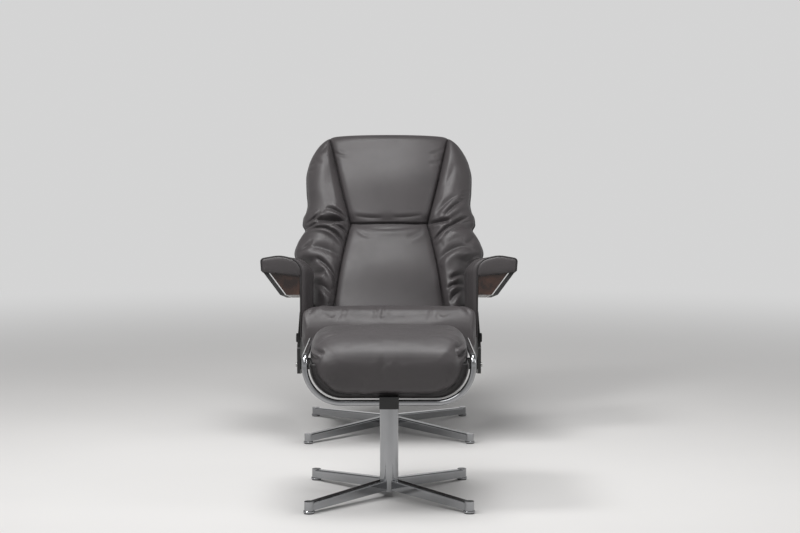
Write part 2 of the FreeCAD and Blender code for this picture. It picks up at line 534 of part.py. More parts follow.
def make_seat(axis_y):
    front, rear = SEAT_FRAME_FRONT, SEAT_FRAME_FRONT + SEAT_FRAME_LENGTH
    low, high = SHOE_HEIGHT, SHOE_HEIGHT + SEAT_RAIL_HEIGHT
    inner = SEAT_RAIL_OUTER - SEAT_RAIL_WIDTH
    rail = in_seat(box(inner, SEAT_RAIL_OUTER, front, rear, low, high))
    shoe_outer = SEAT_RAIL_OUTER - (SEAT_RAIL_WIDTH - SHOE_WIDTH) / 2
    shoes = []
    runner_front = BEAM_FRONT_OFFSET - BEAM_DEPTH
    for y in (runner_front + SHOE_LENGTH, rear - SHOE_LENGTH):
        shoe = box(shoe_outer - SHOE_WIDTH, shoe_outer, y, y + SHOE_LENGTH, RUN_CLEARANCE, low)
        shoes += [mirrored(in_seat(shoe), sign) for side, sign in SIDES]
    straps = []
    for number in range(WEBBING_COUNT):
        x = (2 * inner - WEBBING_WIDTH) * (number / (WEBBING_COUNT - 1) - 0.5)
        straps.append(in_seat(box(x - WEBBING_WIDTH / 2, x + WEBBING_WIDTH / 2, front, rear,
                                  high, high + WEBBING_THICKNESS)))
    for side, sign in SIDES:
        save("seat_side_rail_" + side, [mirrored(rail, sign)], axis_y)
    for name, y in (("front", front), ("rear", rear - SEAT_RAIL_WIDTH)):
        save("seat_" + name + "_rail", [in_seat(box(-inner, inner, y, y + SEAT_RAIL_WIDTH, low, high))], axis_y)
    save("seat_slide_shoes", shoes, axis_y)
    save("seat_webbing", straps, axis_y)
    roll = []
    for share, full in zip(SEAT_ROLL_STATION_SHARES, SEAT_ROLL_FULL_SHARES):
        drop = SEAT_EDGE_HEIGHT * (1 - full) / 2
        half = SEAT_ROLL_HALF - drop / 2
        roll.append(pad_section(SEAT_ROLL_DEPTH * share, -half, half, drop / 2, SEAT_EDGE_HEIGHT - drop,
                                SEAT_CROWN * full, SEAT_SIDE_BULGE, SEAT_SIDE_BULGE))
    pad = []
    start, length = SEAT_FRAME_FRONT, SEAT_LENGTH - SEAT_FRAME_FRONT
    for share, full, draw in zip(SEAT_STATION_SHARES, SEAT_FULL_SHARES, SEAT_DRAW_SHARES):
        half = SEAT_HALF - SEAT_DRAW_IN * draw
        top = SEAT_PAD_BOTTOM + (SEAT_EDGE_HEIGHT - SEAT_PAD_BOTTOM) * full
        pad.append(pad_section(start + length * share, -half, half, SEAT_PAD_BOTTOM, top,
                               SEAT_CROWN * full, SEAT_SIDE_BULGE, SEAT_SIDE_BULGE))
    save("seat_cushion", [in_seat(loft(roll)), in_seat(loft(pad))], axis_y)


def eyed_bar(outline, depth, eye, hole_radius, bar_side):
    """Flat bar with a bored eye: eye is its centre and radius, bar_side its inner and outer x."""
    centre, radius = eye
    x0, x1 = bar_side
    bar = prism(outline, V(0, 0, depth))
    bar = bar.fuse(rod(radius, V(x0, centre, 0), V(x1, centre, 0)))
    if hole_radius:
        bar = bar.cut(rod(hole_radius, V(x0 - CUT_OVERRUN, centre, 0), V(x1 + CUT_OVERRUN, centre, 0)))
    return bar


def make_back(axis_y):
    half_depth = BAR_DEPTH / 2
    knee = HINGE_RISE * BAR_KNEE_SHARE
    inner, top_inner = BAR_OUTER - BAR_WIDTH, HINGE_OUTER - BAR_WIDTH
    outline = [V(inner, 0, -half_depth), V(BAR_OUTER, 0, -half_depth), V(BAR_OUTER, knee, -half_depth),
               V(HINGE_OUTER, HINGE_RISE - half_depth, -half_depth), V(HINGE_OUTER, HINGE_RISE, -half_depth),
               V(top_inner, HINGE_RISE, -half_depth), V(top_inner, HINGE_RISE - half_depth, -half_depth),
               V(inner, knee, -half_depth)]
    bar = eyed_bar(outline, BAR_DEPTH, (0, PIVOT_EYE_RADIUS), PIVOT_BOLT_RADIUS + RUN_CLEARANCE,
                   (inner, BAR_OUTER))
    bar = bar.fuse(rod(half_depth, V(top_inner, HINGE_RISE, 0), V(HINGE_OUTER, HINGE_RISE, 0)))
    bar = bar.cut(rod(HINGE_PIN_RADIUS + RUN_CLEARANCE, V(top_inner - CUT_OVERRUN, HINGE_RISE, 0),
                      V(HINGE_OUTER + CUT_OVERRUN, HINGE_RISE, 0)))
    cross = box(-inner, inner, CROSS_BAR_OFFSET, CROSS_BAR_OFFSET + CROSS_BAR_WIDTH, -half_depth, half_depth)
    start, length = BACK_PAD_START, HINGE_RISE - WAIST_GAP - BACK_PAD_START
    centre, wing, shell = [], [], []
    for share, full, reach in zip(BACK_STATION_SHARES, BACK_FULL_SHARES, BACK_WING_SHARES):
        y = start + length * share
        half = BACK_HALF + (WAIST_HALF - BACK_HALF) * share
        outer = WING_FOOT_HALF + (WING_HALF - WING_FOOT_HALF) * reach
        front = PAD_BACK + PAD_END + (PAD_FRONT - PAD_BACK - PAD_END) * full
        centre.append(pad_section(y, -half, half, PAD_BACK, front, BACK_CROWN * full, 0, 0))
        wing.append(pad_section(y, half + SEAM_GAP, outer, PAD_BACK, front + WING_LIFT * full,
                                WING_CROWN * full, 0, WING_CROWN / 2 * full))
        shell.append(pad_section(y, -outer + SHELL_INSET, outer - SHELL_INSET, -PAD_BACK,
                                 -PAD_BACK - SHELL_DEPTH * (1 + full) / 2, -SHELL_CROWN * full, 0, 0))
    for side, sign in SIDES:
        save("back_bar_" + side, [mirrored(in_back(bar), sign)], axis_y)
        save("back_wing_" + side, [mirrored(in_back(loft(wing)), sign)], axis_y)
    save("back_cross_bar", [in_back(cross)], axis_y)
    save("back_cushion", [in_back(loft(centre))], axis_y)
    save("back_shell", [in_back(loft(shell))], axis_y)


def make_head(axis_y):
    half_depth = BAR_DEPTH / 2
    outer = HINGE_OUTER - BAR_WIDTH - SOFT_GAP
    inner = outer - BAR_WIDTH
    outline = [V(inner, 0, -half_depth), V(outer, 0, -half_depth), V(outer, HEAD_BAR_LENGTH, -half_depth),
               V(inner, HEAD_BAR_LENGTH, -half_depth)]
    bar = eyed_bar(outline, BAR_DEPTH, (0, half_depth), 0, (inner, outer))
    bar = bar.fuse(rod(HINGE_PIN_RADIUS, V(inner, 0, 0), V(HINGE_OUTER, 0, 0)))
    start, length = HEAD_PAD_START, HEAD_LENGTH - HEAD_PAD_START
    centre, wing, shell = [], [], []
    stations = zip(HEAD_STATION_SHARES, HEAD_FULL_SHARES, HEAD_WING_SHARES, HEAD_SHELL_SHARES)
    for share, full, reach, rear in stations:
        y = start + length * share
        half = WAIST_HALF + (HEAD_TOP_HALF - WAIST_HALF) * share
        outer_half = max(HEAD_WING_HALF * reach, half + BAR_WIDTH / 4)
        front = PAD_BACK + PAD_END / 4 + (PAD_FRONT - PAD_BACK - PAD_END / 4) * full
        centre.append(pad_section(y, -half, half, PAD_BACK, front, HEAD_CROWN * full, 0, 0))
        wing.append(pad_section(y, half + SEAM_GAP, outer_half, PAD_BACK, front + WING_LIFT * full,
                                WING_CROWN * full, 0, WING_CROWN / 2 * full))
        shell.append(pad_section(y, -outer_half + SHELL_INSET, outer_half - SHELL_INSET, -PAD_BACK,
                                 -PAD_BACK - SHELL_DEPTH * rear, -SHELL_CROWN * rear, 0, 0))
    for side, sign in SIDES:
        save("head_bar_" + side, [mirrored(in_head(bar), sign)], axis_y)
        save("head_wing_" + side, [mirrored(in_head(loft(wing)), sign)], axis_y)
    save("head_cushion", [in_head(loft(centre))], axis_y)
    save("head_shell", [in_head(loft(shell))], axis_y)


def tube_path(radius):
    """Front half of the stool's tube: side rail, bend down, round corner, cross run and back."""
    edges = []
    bend_y, low = TUBE_BEND - TUBE_DEPTH_HALF, TUBE_LOW_HEIGHT
    lean = math.sqrt(0.5)
    for sign in (-1, 1):
        x, flat = sign * TUBE_HALF, sign * PAN_FLAT
        rail_end = V(x, bend_y, TUBE_RAIL_HEIGHT)
        bend_end = V(x, -TUBE_DEPTH_HALF, PAN_RIM)
        bend_middle = V(x, bend_y - TUBE_BEND * lean, PAN_RIM + TUBE_BEND * lean)
        run_end = V(flat, -TUBE_DEPTH_HALF, low)
        corner = V(flat + sign * TUBE_CORNER * lean, -TUBE_DEPTH_HALF, PAN_RIM - TUBE_CORNER * lean)
        side = [line(V(x, 0, TUBE_RAIL_HEIGHT), rail_end), arc(rail_end, bend_middle, bend_end),
                arc(bend_end, corner, run_end)]
        edges += side if sign < 0 else [line(V(-flat, -TUBE_DEPTH_HALF, low), run_end)] + side[::-1]
    ring = Part.Wire([Part.Circle(V(-TUBE_HALF, 0, TUBE_RAIL_HEIGHT), Y_AXIS, radius).toShape()])
    return Part.Wire(Part.__sortEdges__(edges)).makePipeShell([ring], True, False)


def tray_face(wall, rim):
    """Outline across the stool's pan, a given wall inside its outer face, up to the rim."""
    radius = PAN_RIM - PAN_BOTTOM - wall
    low, lean = PAN_BOTTOM + wall, math.sqrt(0.5)
    y = -PAN_DEPTH_HALF
    edges = [line(V(-PAN_FLAT, y, low), V(PAN_FLAT, y, low))]
    for sign in (1, -1):
        start, end = V(sign * PAN_FLAT, y, low), V(sign * (PAN_FLAT + radius), y, PAN_RIM)
        middle = V(sign * (PAN_FLAT + radius * lean), y, PAN_RIM - radius * lean)
        edges += [arc(start, middle, end), line(end, V(end.x, y, rim))]
    edges.append(line(V(-PAN_FLAT - radius, y, rim), V(PAN_FLAT + radius, y, rim)))
    return Part.Face(Part.Wire(Part.__sortEdges__(edges)))


def make_stool_top(axis_y):
    """Top of the stool: its beam closes the two cradles that hold the bent tube."""
    spindle = make_spindle(STOOL_COLUMN_TOP, STOOL_THRUST, BEAM_BAR_BOTTOM)
    save("stool_spindle", [spindle], axis_y)
    beam_end = TUBE_DEPTH_HALF + CLAMP_DEPTH / 2
    beam = box(-CLAMP_HALF, CLAMP_HALF, -beam_end, beam_end, BEAM_BAR_BOTTOM, PAN_BOTTOM)
    clamps, bolts = [], []
    for sign in (-1, 1):
        y = sign * TUBE_DEPTH_HALF
        clamp = box(-CLAMP_HALF, CLAMP_HALF, y - CLAMP_DEPTH / 2, y + CLAMP_DEPTH / 2,
                    TUBE_LOW_HEIGHT - TUBE_RADIUS - CLAMP_BELOW, BEAM_BAR_BOTTOM)
        reach = CLAMP_HALF + CUT_OVERRUN
        clamp = clamp.cut(rod(TUBE_RADIUS, V(-reach, y, TUBE_LOW_HEIGHT), V(reach, y, TUBE_LOW_HEIGHT)))
        clamp = clamp.cut(box(-reach, reach, y - TUBE_RADIUS, y + TUBE_RADIUS, TUBE_LOW_HEIGHT, PAN_BOTTOM))
        for side in (-1, 1):
            x = side * (CLAMP_HALF - 3 * CLAMP_BOLT_RADIUS)
            by = y - sign * (TUBE_RADIUS + CLAMP_BOLT_RADIUS + BOLT_CLEARANCE)
            low = clamp.BoundBox.ZMin
            hole = rod(CLAMP_BOLT_RADIUS + BOLT_CLEARANCE, V(x, by, low - CUT_OVERRUN), V(x, by, PAN_BOTTOM))
            clamp, beam = clamp.cut(hole), beam.cut(hole)
            bolt = rod(CLAMP_BOLT_RADIUS, V(x, by, low), V(x, by, PAN_BOTTOM))
            bolts.append(bolt.fuse(rod(CLAMP_BOLT_RADIUS * 2, V(x, by, low - CLAMP_BOLT_RADIUS), V(x, by, low))))
        clamps.append(clamp)
    save("stool_carrier_beam", [beam], axis_y)
    save("stool_tube_clamps", clamps, axis_y)
    save("stool_clamp_bolts", bolts, axis_y)
    tube = tube_path(TUBE_RADIUS).cut(tube_path(TUBE_RADIUS - TUBE_WALL))
    save("stool_tube_frame", [tube, tube.mirror(ORIGIN, Y_AXIS)], axis_y)
    length = V(0, 2 * PAN_DEPTH_HALF, 0)
    pan = tray_face(0, PAN_RIM + PAN_WALL).extrude(length)
    inside = tray_face(PAN_WALL, PAN_RIM + 2 * PAN_WALL).extrude(length)
    save("stool_pan", [pan.cut(inside)], axis_y)
    fill = tray_face(PAN_WALL + SOFT_GAP, STOOL_PAD_BOTTOM).extrude(length)
    top = []
    for share, full in zip(ROLLED_STATION_SHARES, ROLLED_FULL_SHARES):
        half = STOOL_HALF - STOOL_PAD_EDGE * (1 - full) / 2 - STOOL_DRAW_IN * (1 - abs(share))
        top.append(pad_section(STOOL_DEPTH_HALF * share, -half, half, STOOL_PAD_BOTTOM,
                               STOOL_PAD_BOTTOM + STOOL_PAD_EDGE * full, STOOL_CROWN * full,
                               STOOL_SIDE_BULGE * full, STOOL_SIDE_BULGE * full))
    save("stool_cushion", [fill, loft(top)], axis_y)


os.makedirs("parts", exist_ok=True)
make_base("chair", CHAIR_FOOT_REACH, CHAIR_COLUMN_TOP, CHAIR_AXIS_Y)
make_chassis(CHAIR_AXIS_Y)
make_knobs(CHAIR_AXIS_Y)
make_armrests(CHAIR_AXIS_Y)
make_seat(CHAIR_AXIS_Y)
make_back(CHAIR_AXIS_Y)
make_head(CHAIR_AXIS_Y)
make_base("stool", STOOL_FOOT_REACH, STOOL_COLUMN_TOP, STOOL_AXIS_Y)
make_stool_top(STOOL_AXIS_Y)
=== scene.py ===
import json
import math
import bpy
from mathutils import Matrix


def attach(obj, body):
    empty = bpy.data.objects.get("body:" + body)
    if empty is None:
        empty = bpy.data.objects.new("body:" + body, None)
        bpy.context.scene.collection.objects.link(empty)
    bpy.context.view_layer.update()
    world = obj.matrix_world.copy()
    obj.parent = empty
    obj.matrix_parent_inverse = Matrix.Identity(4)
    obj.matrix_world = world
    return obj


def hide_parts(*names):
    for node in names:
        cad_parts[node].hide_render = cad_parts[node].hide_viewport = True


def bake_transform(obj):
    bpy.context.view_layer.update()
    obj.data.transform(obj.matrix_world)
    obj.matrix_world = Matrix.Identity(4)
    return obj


bl_info = {
    "name": "Swivel recliner with footstool",
    "version": (1, 0, 0),
    "blender": (4, 5, 0),
    "location": "View3D > Sidebar > Recliner",
    "description": "Dresses the recliner and its footstool in leather, chrome and walnut",
    "category": "Object",
}

import bmesh
import bpy
from mathutils import Vector
from mathutils.bvhtree import BVHTree

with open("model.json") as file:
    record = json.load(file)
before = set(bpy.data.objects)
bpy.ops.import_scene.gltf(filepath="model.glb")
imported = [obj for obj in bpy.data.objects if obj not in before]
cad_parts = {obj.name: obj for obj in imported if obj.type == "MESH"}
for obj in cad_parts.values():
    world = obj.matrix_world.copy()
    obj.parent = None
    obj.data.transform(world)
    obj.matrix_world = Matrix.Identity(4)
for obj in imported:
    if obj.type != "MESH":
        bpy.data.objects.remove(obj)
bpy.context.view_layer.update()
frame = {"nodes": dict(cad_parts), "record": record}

# Places and leans from the frame, in metres and radians, and the covers' own leans and origins
JOINTS = {joint["name"]: joint for joint in frame["record"]["behaviour"]["joints"]}
PIVOT = Vector(JOINTS["back_recline"]["pos_m"])
HINGE = Vector(JOINTS["head_tilt"]["pos_m"])
STOOL_AXIS_Y = JOINTS["stool_swivel"]["pos_m"][1]
CHAIR_AXIS_Y = JOINTS["chair_swivel"]["pos_m"][1]
BACK_LEAN = math.atan2(HINGE.y - PIVOT.y, HINGE.z - PIVOT.z)
HEAD_LEAN = math.radians(22)
HINGE_RISE = (HINGE - PIVOT).length
SEAT_TILT = math.asin(JOINTS["seat_glide"]["axis"][2])
SEAT_ORIGIN = Vector((0, CHAIR_AXIS_Y - 0.390, 0.300))
ARM_SLOPE = math.radians(7)
ARM_ORIGIN = Vector((0, CHAIR_AXIS_Y - 0.225, 0.544))
SIDES = (("left", -1), ("right", 1))

# Length over which the back's lean turns into the head's, and how far leather bends to each side of the hinge
HINGE_BEND, HINGE_SOFT = 0.12, 0.035
# Leather as cloth over a filling, and how often the depth of its folds, which sets their painted shade and
# highlights, is evened out
CLOTH = {
    "quality": 5, "mass": 0.4, "tension_stiffness": 25, "compression_stiffness": 12, "shear_stiffness": 8,
    "bending_stiffness": 2, "use_pressure": True,
}
CLOTH_FRAMES = 20
FOLD_SHADE_SMOOTHING = 3


# Curves and shapes that the pieces share

def in_metres(*lines):
    """Table given in millimetres, turned to metres."""
    return tuple(tuple(value / 1000 for value in line) for line in lines)


def clamp(value):
    """The value, held between 0 and 1."""
    return max(0.0, min(1.0, value))


def table_slope(points, k):
    """Slope of a table's curve at one of its points, level at peaks and at both ends."""
    if k in (0, len(points) - 1):
        return 0.0
    (a, va), (b, vb), (c, vc) = points[k - 1:k + 2]
    before, after = (vb - va) / (b - a), (vc - vb) / (c - b)
    return 2 * before * after / (before + after) if before * after > 0 else 0.0


def smooth_table(points, at):
    """Value of a given table at a place, along a smooth curve with no overshoot."""
    if at <= points[0][0]:
        return points[0][1]
    for k, ((a, va), (b, vb)) in enumerate(zip(points, points[1:])):
        if at <= b:
            t, width = (at - a) / (b - a), b - a
            start, end = table_slope(points, k) * width, table_slope(points, k + 1) * width
            rise = va + (vb - va) * t * t * (3 - 2 * t)
            return rise + t * (1 - t) * (start * (1 - t) - end * t)
    return points[-1][1]


def bell(distance, width):
    """Bell curve: 1 in the middle, about a third at one width away."""
    return math.exp(-(distance / width) ** 2)


def rounding(share, power):
    """Height of a rounded edge: 1 in the middle and 0 at a share of 1 or -1."""
    return max(0.0, 1 - abs(share) ** power) ** (1 / power)


def end_rounding(near, power, least):
    """Share of a form's full thickness at a distance from its end, 1 being past the round."""
    return max(least, rounding(1 - clamp(near), power))


def groove(distance, steps):
    """Depth of a sewn groove beside its line; steps hold a depth and a width each."""
    return sum(depth * bell(distance, width) for depth, width in steps)


def crowded(share, even=0.0):
    """Share from 0 to 1 that crowds towards both ends, apart from an even part."""
    return even * share + (1 - even) * (0.5 - 0.5 * math.cos(math.pi * share))


def spread(count):
    """Shares from -1 to 1 that crowd towards both ends."""
    return [math.sin(math.pi / 2 * (2 * k / (count - 1) - 1)) for k in range(count)]


def crease(x, y, line):
    """Height of a crease at a point: line holds two ends, the bow between them, a width and a depth."""
    x0, y0, x1, y1, bow, width, depth = line
    dx, dy = x1 - x0, y1 - y0
    length = math.hypot(dx, dy)
    share = ((x - x0) * dx + (y - y0) * dy) / length ** 2
    if not 0 < share < 1:
        return 0.0
    off = ((x - x0) * dy - (y - y0) * dx) / length - 4 * bow * share * (1 - share)
    if abs(off) > 7 * width:
        return 0.0
    taper = (4 * share * (1 - share)) ** 0.6
    ridges = 0.75 * bell(off - 2.3 * width, 1.7 * width) + 0.35 * bell(off + 2.1 * width, 1.4 * width)
    return depth * taper * (ridges - math.exp(-abs(off / width) ** 1.4))


def mesh_object(name, points, faces):
    mesh = bpy.data.meshes.new(name)
    mesh.from_pydata(points, [], faces)
    mesh.validate()
    mesh.polygons.foreach_set("use_smooth", [True] * len(mesh.polygons))
    obj = bpy.data.objects.new(name, mesh)
    bpy.context.scene.collection.objects.link(obj)
    return obj


def ring_loft(name, rings, flat_ends=False):
    """Closed skin through rings of as many points each, with flat or gathered ends."""
    count = len(rings[0])
    points = [p for ring in rings for p in ring]
    faces = []
    for row in range(len(rings) - 1):
        for k in range(count):
            a, b = row * count + k, row * count + (k + 1) % count
            faces.append((a, b, b + count, a + count))
    for start, ring in ((0, rings[0]), ((len(rings) - 1) * count, rings[-1])):
        if flat_ends:
            faces.append(tuple(range(start, start + count)))
            continue
        points.append(tuple(sum((Vector(p) for p in ring), Vector()) / count))
        faces += [(start + k, start + (k + 1) % count, len(points) - 1) for k in range(count)]
    obj = mesh_object(name, points, faces)
    outward(obj)
    for face in obj.data.polygons:
        face.use_smooth = len(face.vertices) < 5
    return obj


def outward(obj):
    """Join points that fall together and turn every face outwards."""
    mesh = bmesh.new()
    mesh.from_mesh(obj.data)
    bmesh.ops.remove_doubles(mesh, verts=mesh.verts, dist=1e-6)
    bmesh.ops.recalc_face_normals(mesh, faces=mesh.faces)
    mesh.to_mesh(obj.data)
    mesh.free()


def subdivided(obj):
    """Smooth a piece with a subdivision surface and keep the result as its mesh."""
    modifier = obj.modifiers.new("Smooth", "SUBSURF")
    modifier.levels = 1
    applied(obj)


def applied(obj):
    """Turn a piece's modifiers into its plain mesh."""
    depsgraph = bpy.context.evaluated_depsgraph_get()
    mesh = bpy.data.meshes.new_from_object(obj.evaluated_get(depsgraph))
    obj.modifiers.clear()
    old = obj.data
    obj.data = mesh
    bpy.data.meshes.remove(old)


def puffed(obj, voxel, pressure, cap):
    """Blow a cushion up as cloth, with every point held within cap of where it started."""
    remesh = obj.modifiers.new("Remesh", "REMESH")
    remesh.mode = "VOXEL"
    remesh.voxel_size = voxel
    applied(obj)
    start = [v.co.copy() for v in obj.data.vertices]
    cloth = obj.modifiers.new("Cloth", "CLOTH")
    for key, value in CLOTH.items():
        setattr(cloth.settings, key, value)
    cloth.settings.uniform_pressure_force = pressure
    cloth.settings.effector_weights.gravity = 0
    cloth.point_cache.frame_start = 1
    cloth.point_cache.frame_end = CLOTH_FRAMES
    scene = bpy.context.scene
    for number in range(1, CLOTH_FRAMES + 1):
        scene.frame_set(number)
    applied(obj)
    scene.frame_set(1)
    for vertex, home in zip(obj.data.vertices, start):
        shift = vertex.co - home
        if shift.length > cap:
            vertex.co = home + shift * (cap / shift.length)
    obj.data.polygons.foreach_set("use_smooth", [True] * len(obj.data.polygons))


def sculpted(obj, shift):
    """Move every point of a piece along its normal by shift(point)."""
    moved = []
    for vertex in obj.data.vertices:
        moved.extend(vertex.co + vertex.normal * shift(vertex.co))
    obj.data.vertices.foreach_set("co", moved)
    obj.data.update()


def shade_creases(obj, depth):
    """Keep how deep each point lies in a fold as an attribute that the leather reads to paint shade into
    folds and highlights onto ridges.
    """
    mesh = obj.data
    total = [Vector() for v in mesh.vertices]
    links = [0] * len(mesh.vertices)
    for edge in mesh.edges:
        a, b = edge.vertices
        total[a] += mesh.vertices[b].co
        total[b] += mesh.vertices[a].co
        links[a] += 1
        links[b] += 1
    fold = []
    for vertex, around, count in zip(mesh.vertices, total, links):
        lift = (around / max(count, 1) - vertex.co).dot(vertex.normal)
        fold.append(max(-1.0, min(1.0, lift / depth)))
    for number in range(FOLD_SHADE_SMOOTHING):
        soft = list(fold)
        for edge in mesh.edges:
            a, b = edge.vertices
            soft[a] += fold[b]
            soft[b] += fold[a]
        fold = [value / (count + 1) for value, count in zip(soft, links)]
    attribute = mesh.attributes.new("fold", "FLOAT", "POINT")
    attribute.data.foreach_set("value", fold)


# Frames of the reclining back and the seat

BACK_STEP = 0.002
BACK_REACH = 0.66


def lean_at(rise):
    """Lean of the back's middle line, which turns into the head's round the hinge."""
    share = clamp((rise - HINGE_RISE) / HINGE_BEND + 0.5)
    return BACK_LEAN + (HEAD_LEAN - BACK_LEAN) * share * share * (3 - 2 * share)


def back_line():
    """Middle line of the back from the recline pivot up, bent a little at the head hinge."""
    place, line = PIVOT.copy(), []
    for number in range(int(BACK_REACH / BACK_STEP) + 2):
        lean = lean_at(number * BACK_STEP)
        line.append(place.copy())
        place += Vector((0, math.sin(lean), math.cos(lean))) * BACK_STEP
    return line


BACK_LINE = back_line()


def on_back(x, rise, out):
    """Point on the back: x across, rise up its middle line, out to the front."""
    lean = lean_at(rise)
    number = min(int(max(rise, 0) / BACK_STEP), len(BACK_LINE) - 2)
    extra = rise - number * BACK_STEP
    up = Vector((0, math.sin(lean), math.cos(lean)))
    front = Vector((0, -math.cos(lean), math.sin(lean)))
    return BACK_LINE[number] + up * extra + front * out + Vector((x, 0, 0))


def on_seat(x, y, z):
    """Point on the tilted seat: x across, y back from its front edge, z up from its underside."""
    c, s = math.cos(SEAT_TILT), math.sin(SEAT_TILT)
    return SEAT_ORIGIN + Vector((x, y * c + z * s, z * c - y * s))


# The upholstered back

BACK_FOOT = -0.045
BACK_TOP = 0.640
# Half width of the whole back and of its centre panel at each rise, in millimetres
BACK_HALF_TABLE = in_metres(
    (0, 261), (60, 263), (120, 266), (155, 282), (182, 317), (205, 323), (245, 312), (272, 298), (290, 288),
    (312, 297), (335, 295), (360, 285), (385, 281), (430, 285), (485, 287), (535, 278), (565, 267),
    (595, 249), (615, 230), (632, 208), (640, 196))
SEAM_TABLE = in_metres(
    (-10, 188), (0, 186), (120, 168), (235, 147), (294, 133.5), (300, 132), (306, 133.2), (420, 160),
    (530, 185), (630, 208), (640, 210))
PAD_MIDDLE = 0.004
PAD_EDGE = 0.050
SHELL_EDGE = 0.036
SHELL_CROWN = 0.012
WAIST_LINE = 0.300
WAIST_CLIMB = 0.010
PANEL_CROWN = 0.018
# Swells of the centre panel at the small of the back and at the head: height, rise and width
PANEL_SWELLS = ((0.012, 0.14, 0.09), (0.014, 0.47, 0.11))
# Wings: step up at the seam, plumpness, width at which they are full, least width and slow waves
WING_STEP = 0.010
WING_PLUMP = 0.020
WING_FULL = 0.08
WING_LEAST = 0.004
WING_SWAY = 0.0032
# Grooves as pairs of depth and width: a narrow one for the thread, a wide one for the leather beside it
WAIST_GROOVE = ((0.009, 0.0032), (0.012, 0.022))
WING_WAIST_GROOVE = ((0.012, 0.024),)
SEAM_GROOVE = ((0.009, 0.0028), (0.006, 0.012))
SHELL_GROOVE = ((0.006, 0.012),)
# How square the cover's edges are, from front to rear, and how its foot and top thin out
FRONT_EDGE, REAR_EDGE, END_EDGE = 3.6, 3.0, 2.4
END_LENGTH, END_LEAST = 0.040, 0.05
# Mesh: steps across half a centre panel, a wing and the rear, and rows below and above the waist
PANEL_STEPS, WING_STEPS, REAR_STEPS = 44, 60, 70
ROWS_BELOW, ROWS_ABOVE = 110, 140
PANEL_CROWDING, WING_EVEN, ROW_EVEN = 1.7, 0.4, 0.3
# Creases that run out over each wing from the waist, in millimetres:
# x and rise of both ends, bow, width and depth
WING_CREASES = {
    -1: in_metres(
        (148, 214, 290, 281, -25.6, 5, 15), (150, 309, 264, 317, 4, 7.2, 15),
        (146, 318, 218, 354, -6, 6, 10.5), (236, 342, 288, 306, 4, 4.5, 8.5),
        (244, 303, 290, 292, 2, 4.2, 8.5), (136, 258, 192, 290, -6, 5.5, 11),
        (154, 164, 298, 212, -12, 11, 7.5), (175, 72, 249, 168, -10, 6, 12.5),
        (215, 114, 268, 128, 4, 7.5, 11), (186, 22, 258, 88, -6, 10, 11), (262, 232, 318, 196, 6, 6, 6),
        (232, 520, 268, 556, 4, 7, 3), (260, 500, 287, 508, 1, 4.2, 4.5), (258, 524, 284, 531, 1, 4.2, 4.5),
        (212, 606, 246, 560, 6, 8, 3.6)),
    1: in_metres(
        (151, 230, 278, 331, -7, 5.2, 15), (134, 303, 210, 309, 3, 6.2, 11.5),
        (190, 322, 268, 390, -6, 6.8, 11.5), (160, 330, 236, 402, -4, 8.5, 5.5),
        (200, 262, 286, 318, -4, 5.5, 8), (172, 236, 276, 290, -6, 8, 7.5),
        (166, 154, 272, 212, -12, 10, 9.5), (262, 222, 292, 252, 4, 8, 7.5),
        (255, 154, 322, 190, -4, 6, 8.5), (206, 86, 276, 126, -4, 6, 11.5), (196, 52, 258, 82, -4, 6, 10.5),
        (205, 4, 256, 66, -4, 8, 9.5), (244, 396, 283, 424, 3, 4.2, 6.5), (250, 412, 284, 436, 2, 4, 5.5),
        (236, 384, 280, 406, 3, 4.5, 5.5), (190, 430, 226, 520, 6, 9, 2.6))}
# Shallow creases in the centre panels, written the same way
HEAD_PUCKERS = in_metres(
    (140, 556, 196, 586, 4, 4.5, 2.8), (140, 520, 188, 540, 4, 5, 2.6),
    (-146, 545, -194, 570, -4, 4.5, 2.4), (-120, 330, -20, 318, 4, 5.5, 2.8),
    (10, 320, 115, 332, 4, 5.5, 2.8), (-60, 276, 70, 282, 6, 7, 2.4), (-118, 284, -60, 240, 8, 7, 3),
    (60, 240, 120, 286, 8, 7, 3))


def back_front(x, rise, wrinkle):
    """How far the back's leather stands in front of its middle line."""
    half, seam = smooth_table(BACK_HALF_TABLE, rise), smooth_table(SEAM_TABLE, rise)
    across = abs(x)
    waist = rise - WAIST_LINE
    if across < seam:
        out = PANEL_CROWN * (1 - (across / seam) ** 2)
        out += sum(height * bell(rise - at, width) for height, at, width in PANEL_SWELLS)
        out -= groove(waist - waist_climb(across / seam), WAIST_GROOVE)
    else:
        share = (across - seam) / max(half - seam, WING_LEAST)
        plump = WING_PLUMP * math.sin(math.pi * min(1, share)) * min(1, (half - seam) / WING_FULL)
        out = WING_STEP * min(1, share * 4) + plump - groove(waist, WING_WAIST_GROOVE)
        side = 1 if x > 0 else -1
        waves = math.sin(31 * x + 9 * rise) * math.sin(38 * rise - 17 * x) * min(1, share * 3)
        folds = sum(crease(across, rise, line) for line in WING_CREASES[side])
        out += wrinkle * (WING_SWAY * waves + folds)
    out += wrinkle * sum(crease(x, rise, line) for line in HEAD_PUCKERS)
    return PAD_EDGE + out - groove(across - seam, SEAM_GROOVE)


def waist_climb(share):
    """How far the waist seam climbs towards the panel seams."""
    return WAIST_CLIMB * share ** 6


def back_rear(x, rise):
    """Where the rear shell's leather lies behind the middle line."""
    half = smooth_table(BACK_HALF_TABLE, rise)
    return groove(rise - WAIST_LINE, SHELL_GROOVE) - SHELL_EDGE - SHELL_CROWN * (1 - (x / half) ** 2)


def back_out(x, rise, wrinkle):
    """Front of the cover, rounded off towards its edges."""
    edge = rounding(x / smooth_table(BACK_HALF_TABLE, rise), FRONT_EDGE) * back_end(rise)
    return PAD_MIDDLE + (back_front(x, rise, wrinkle) - PAD_MIDDLE) * edge


def back_end(rise):
    """Thins the back towards its foot and top."""
    return end_rounding(min(rise - BACK_FOOT, BACK_TOP - rise) / END_LENGTH, END_EDGE, END_LEAST)


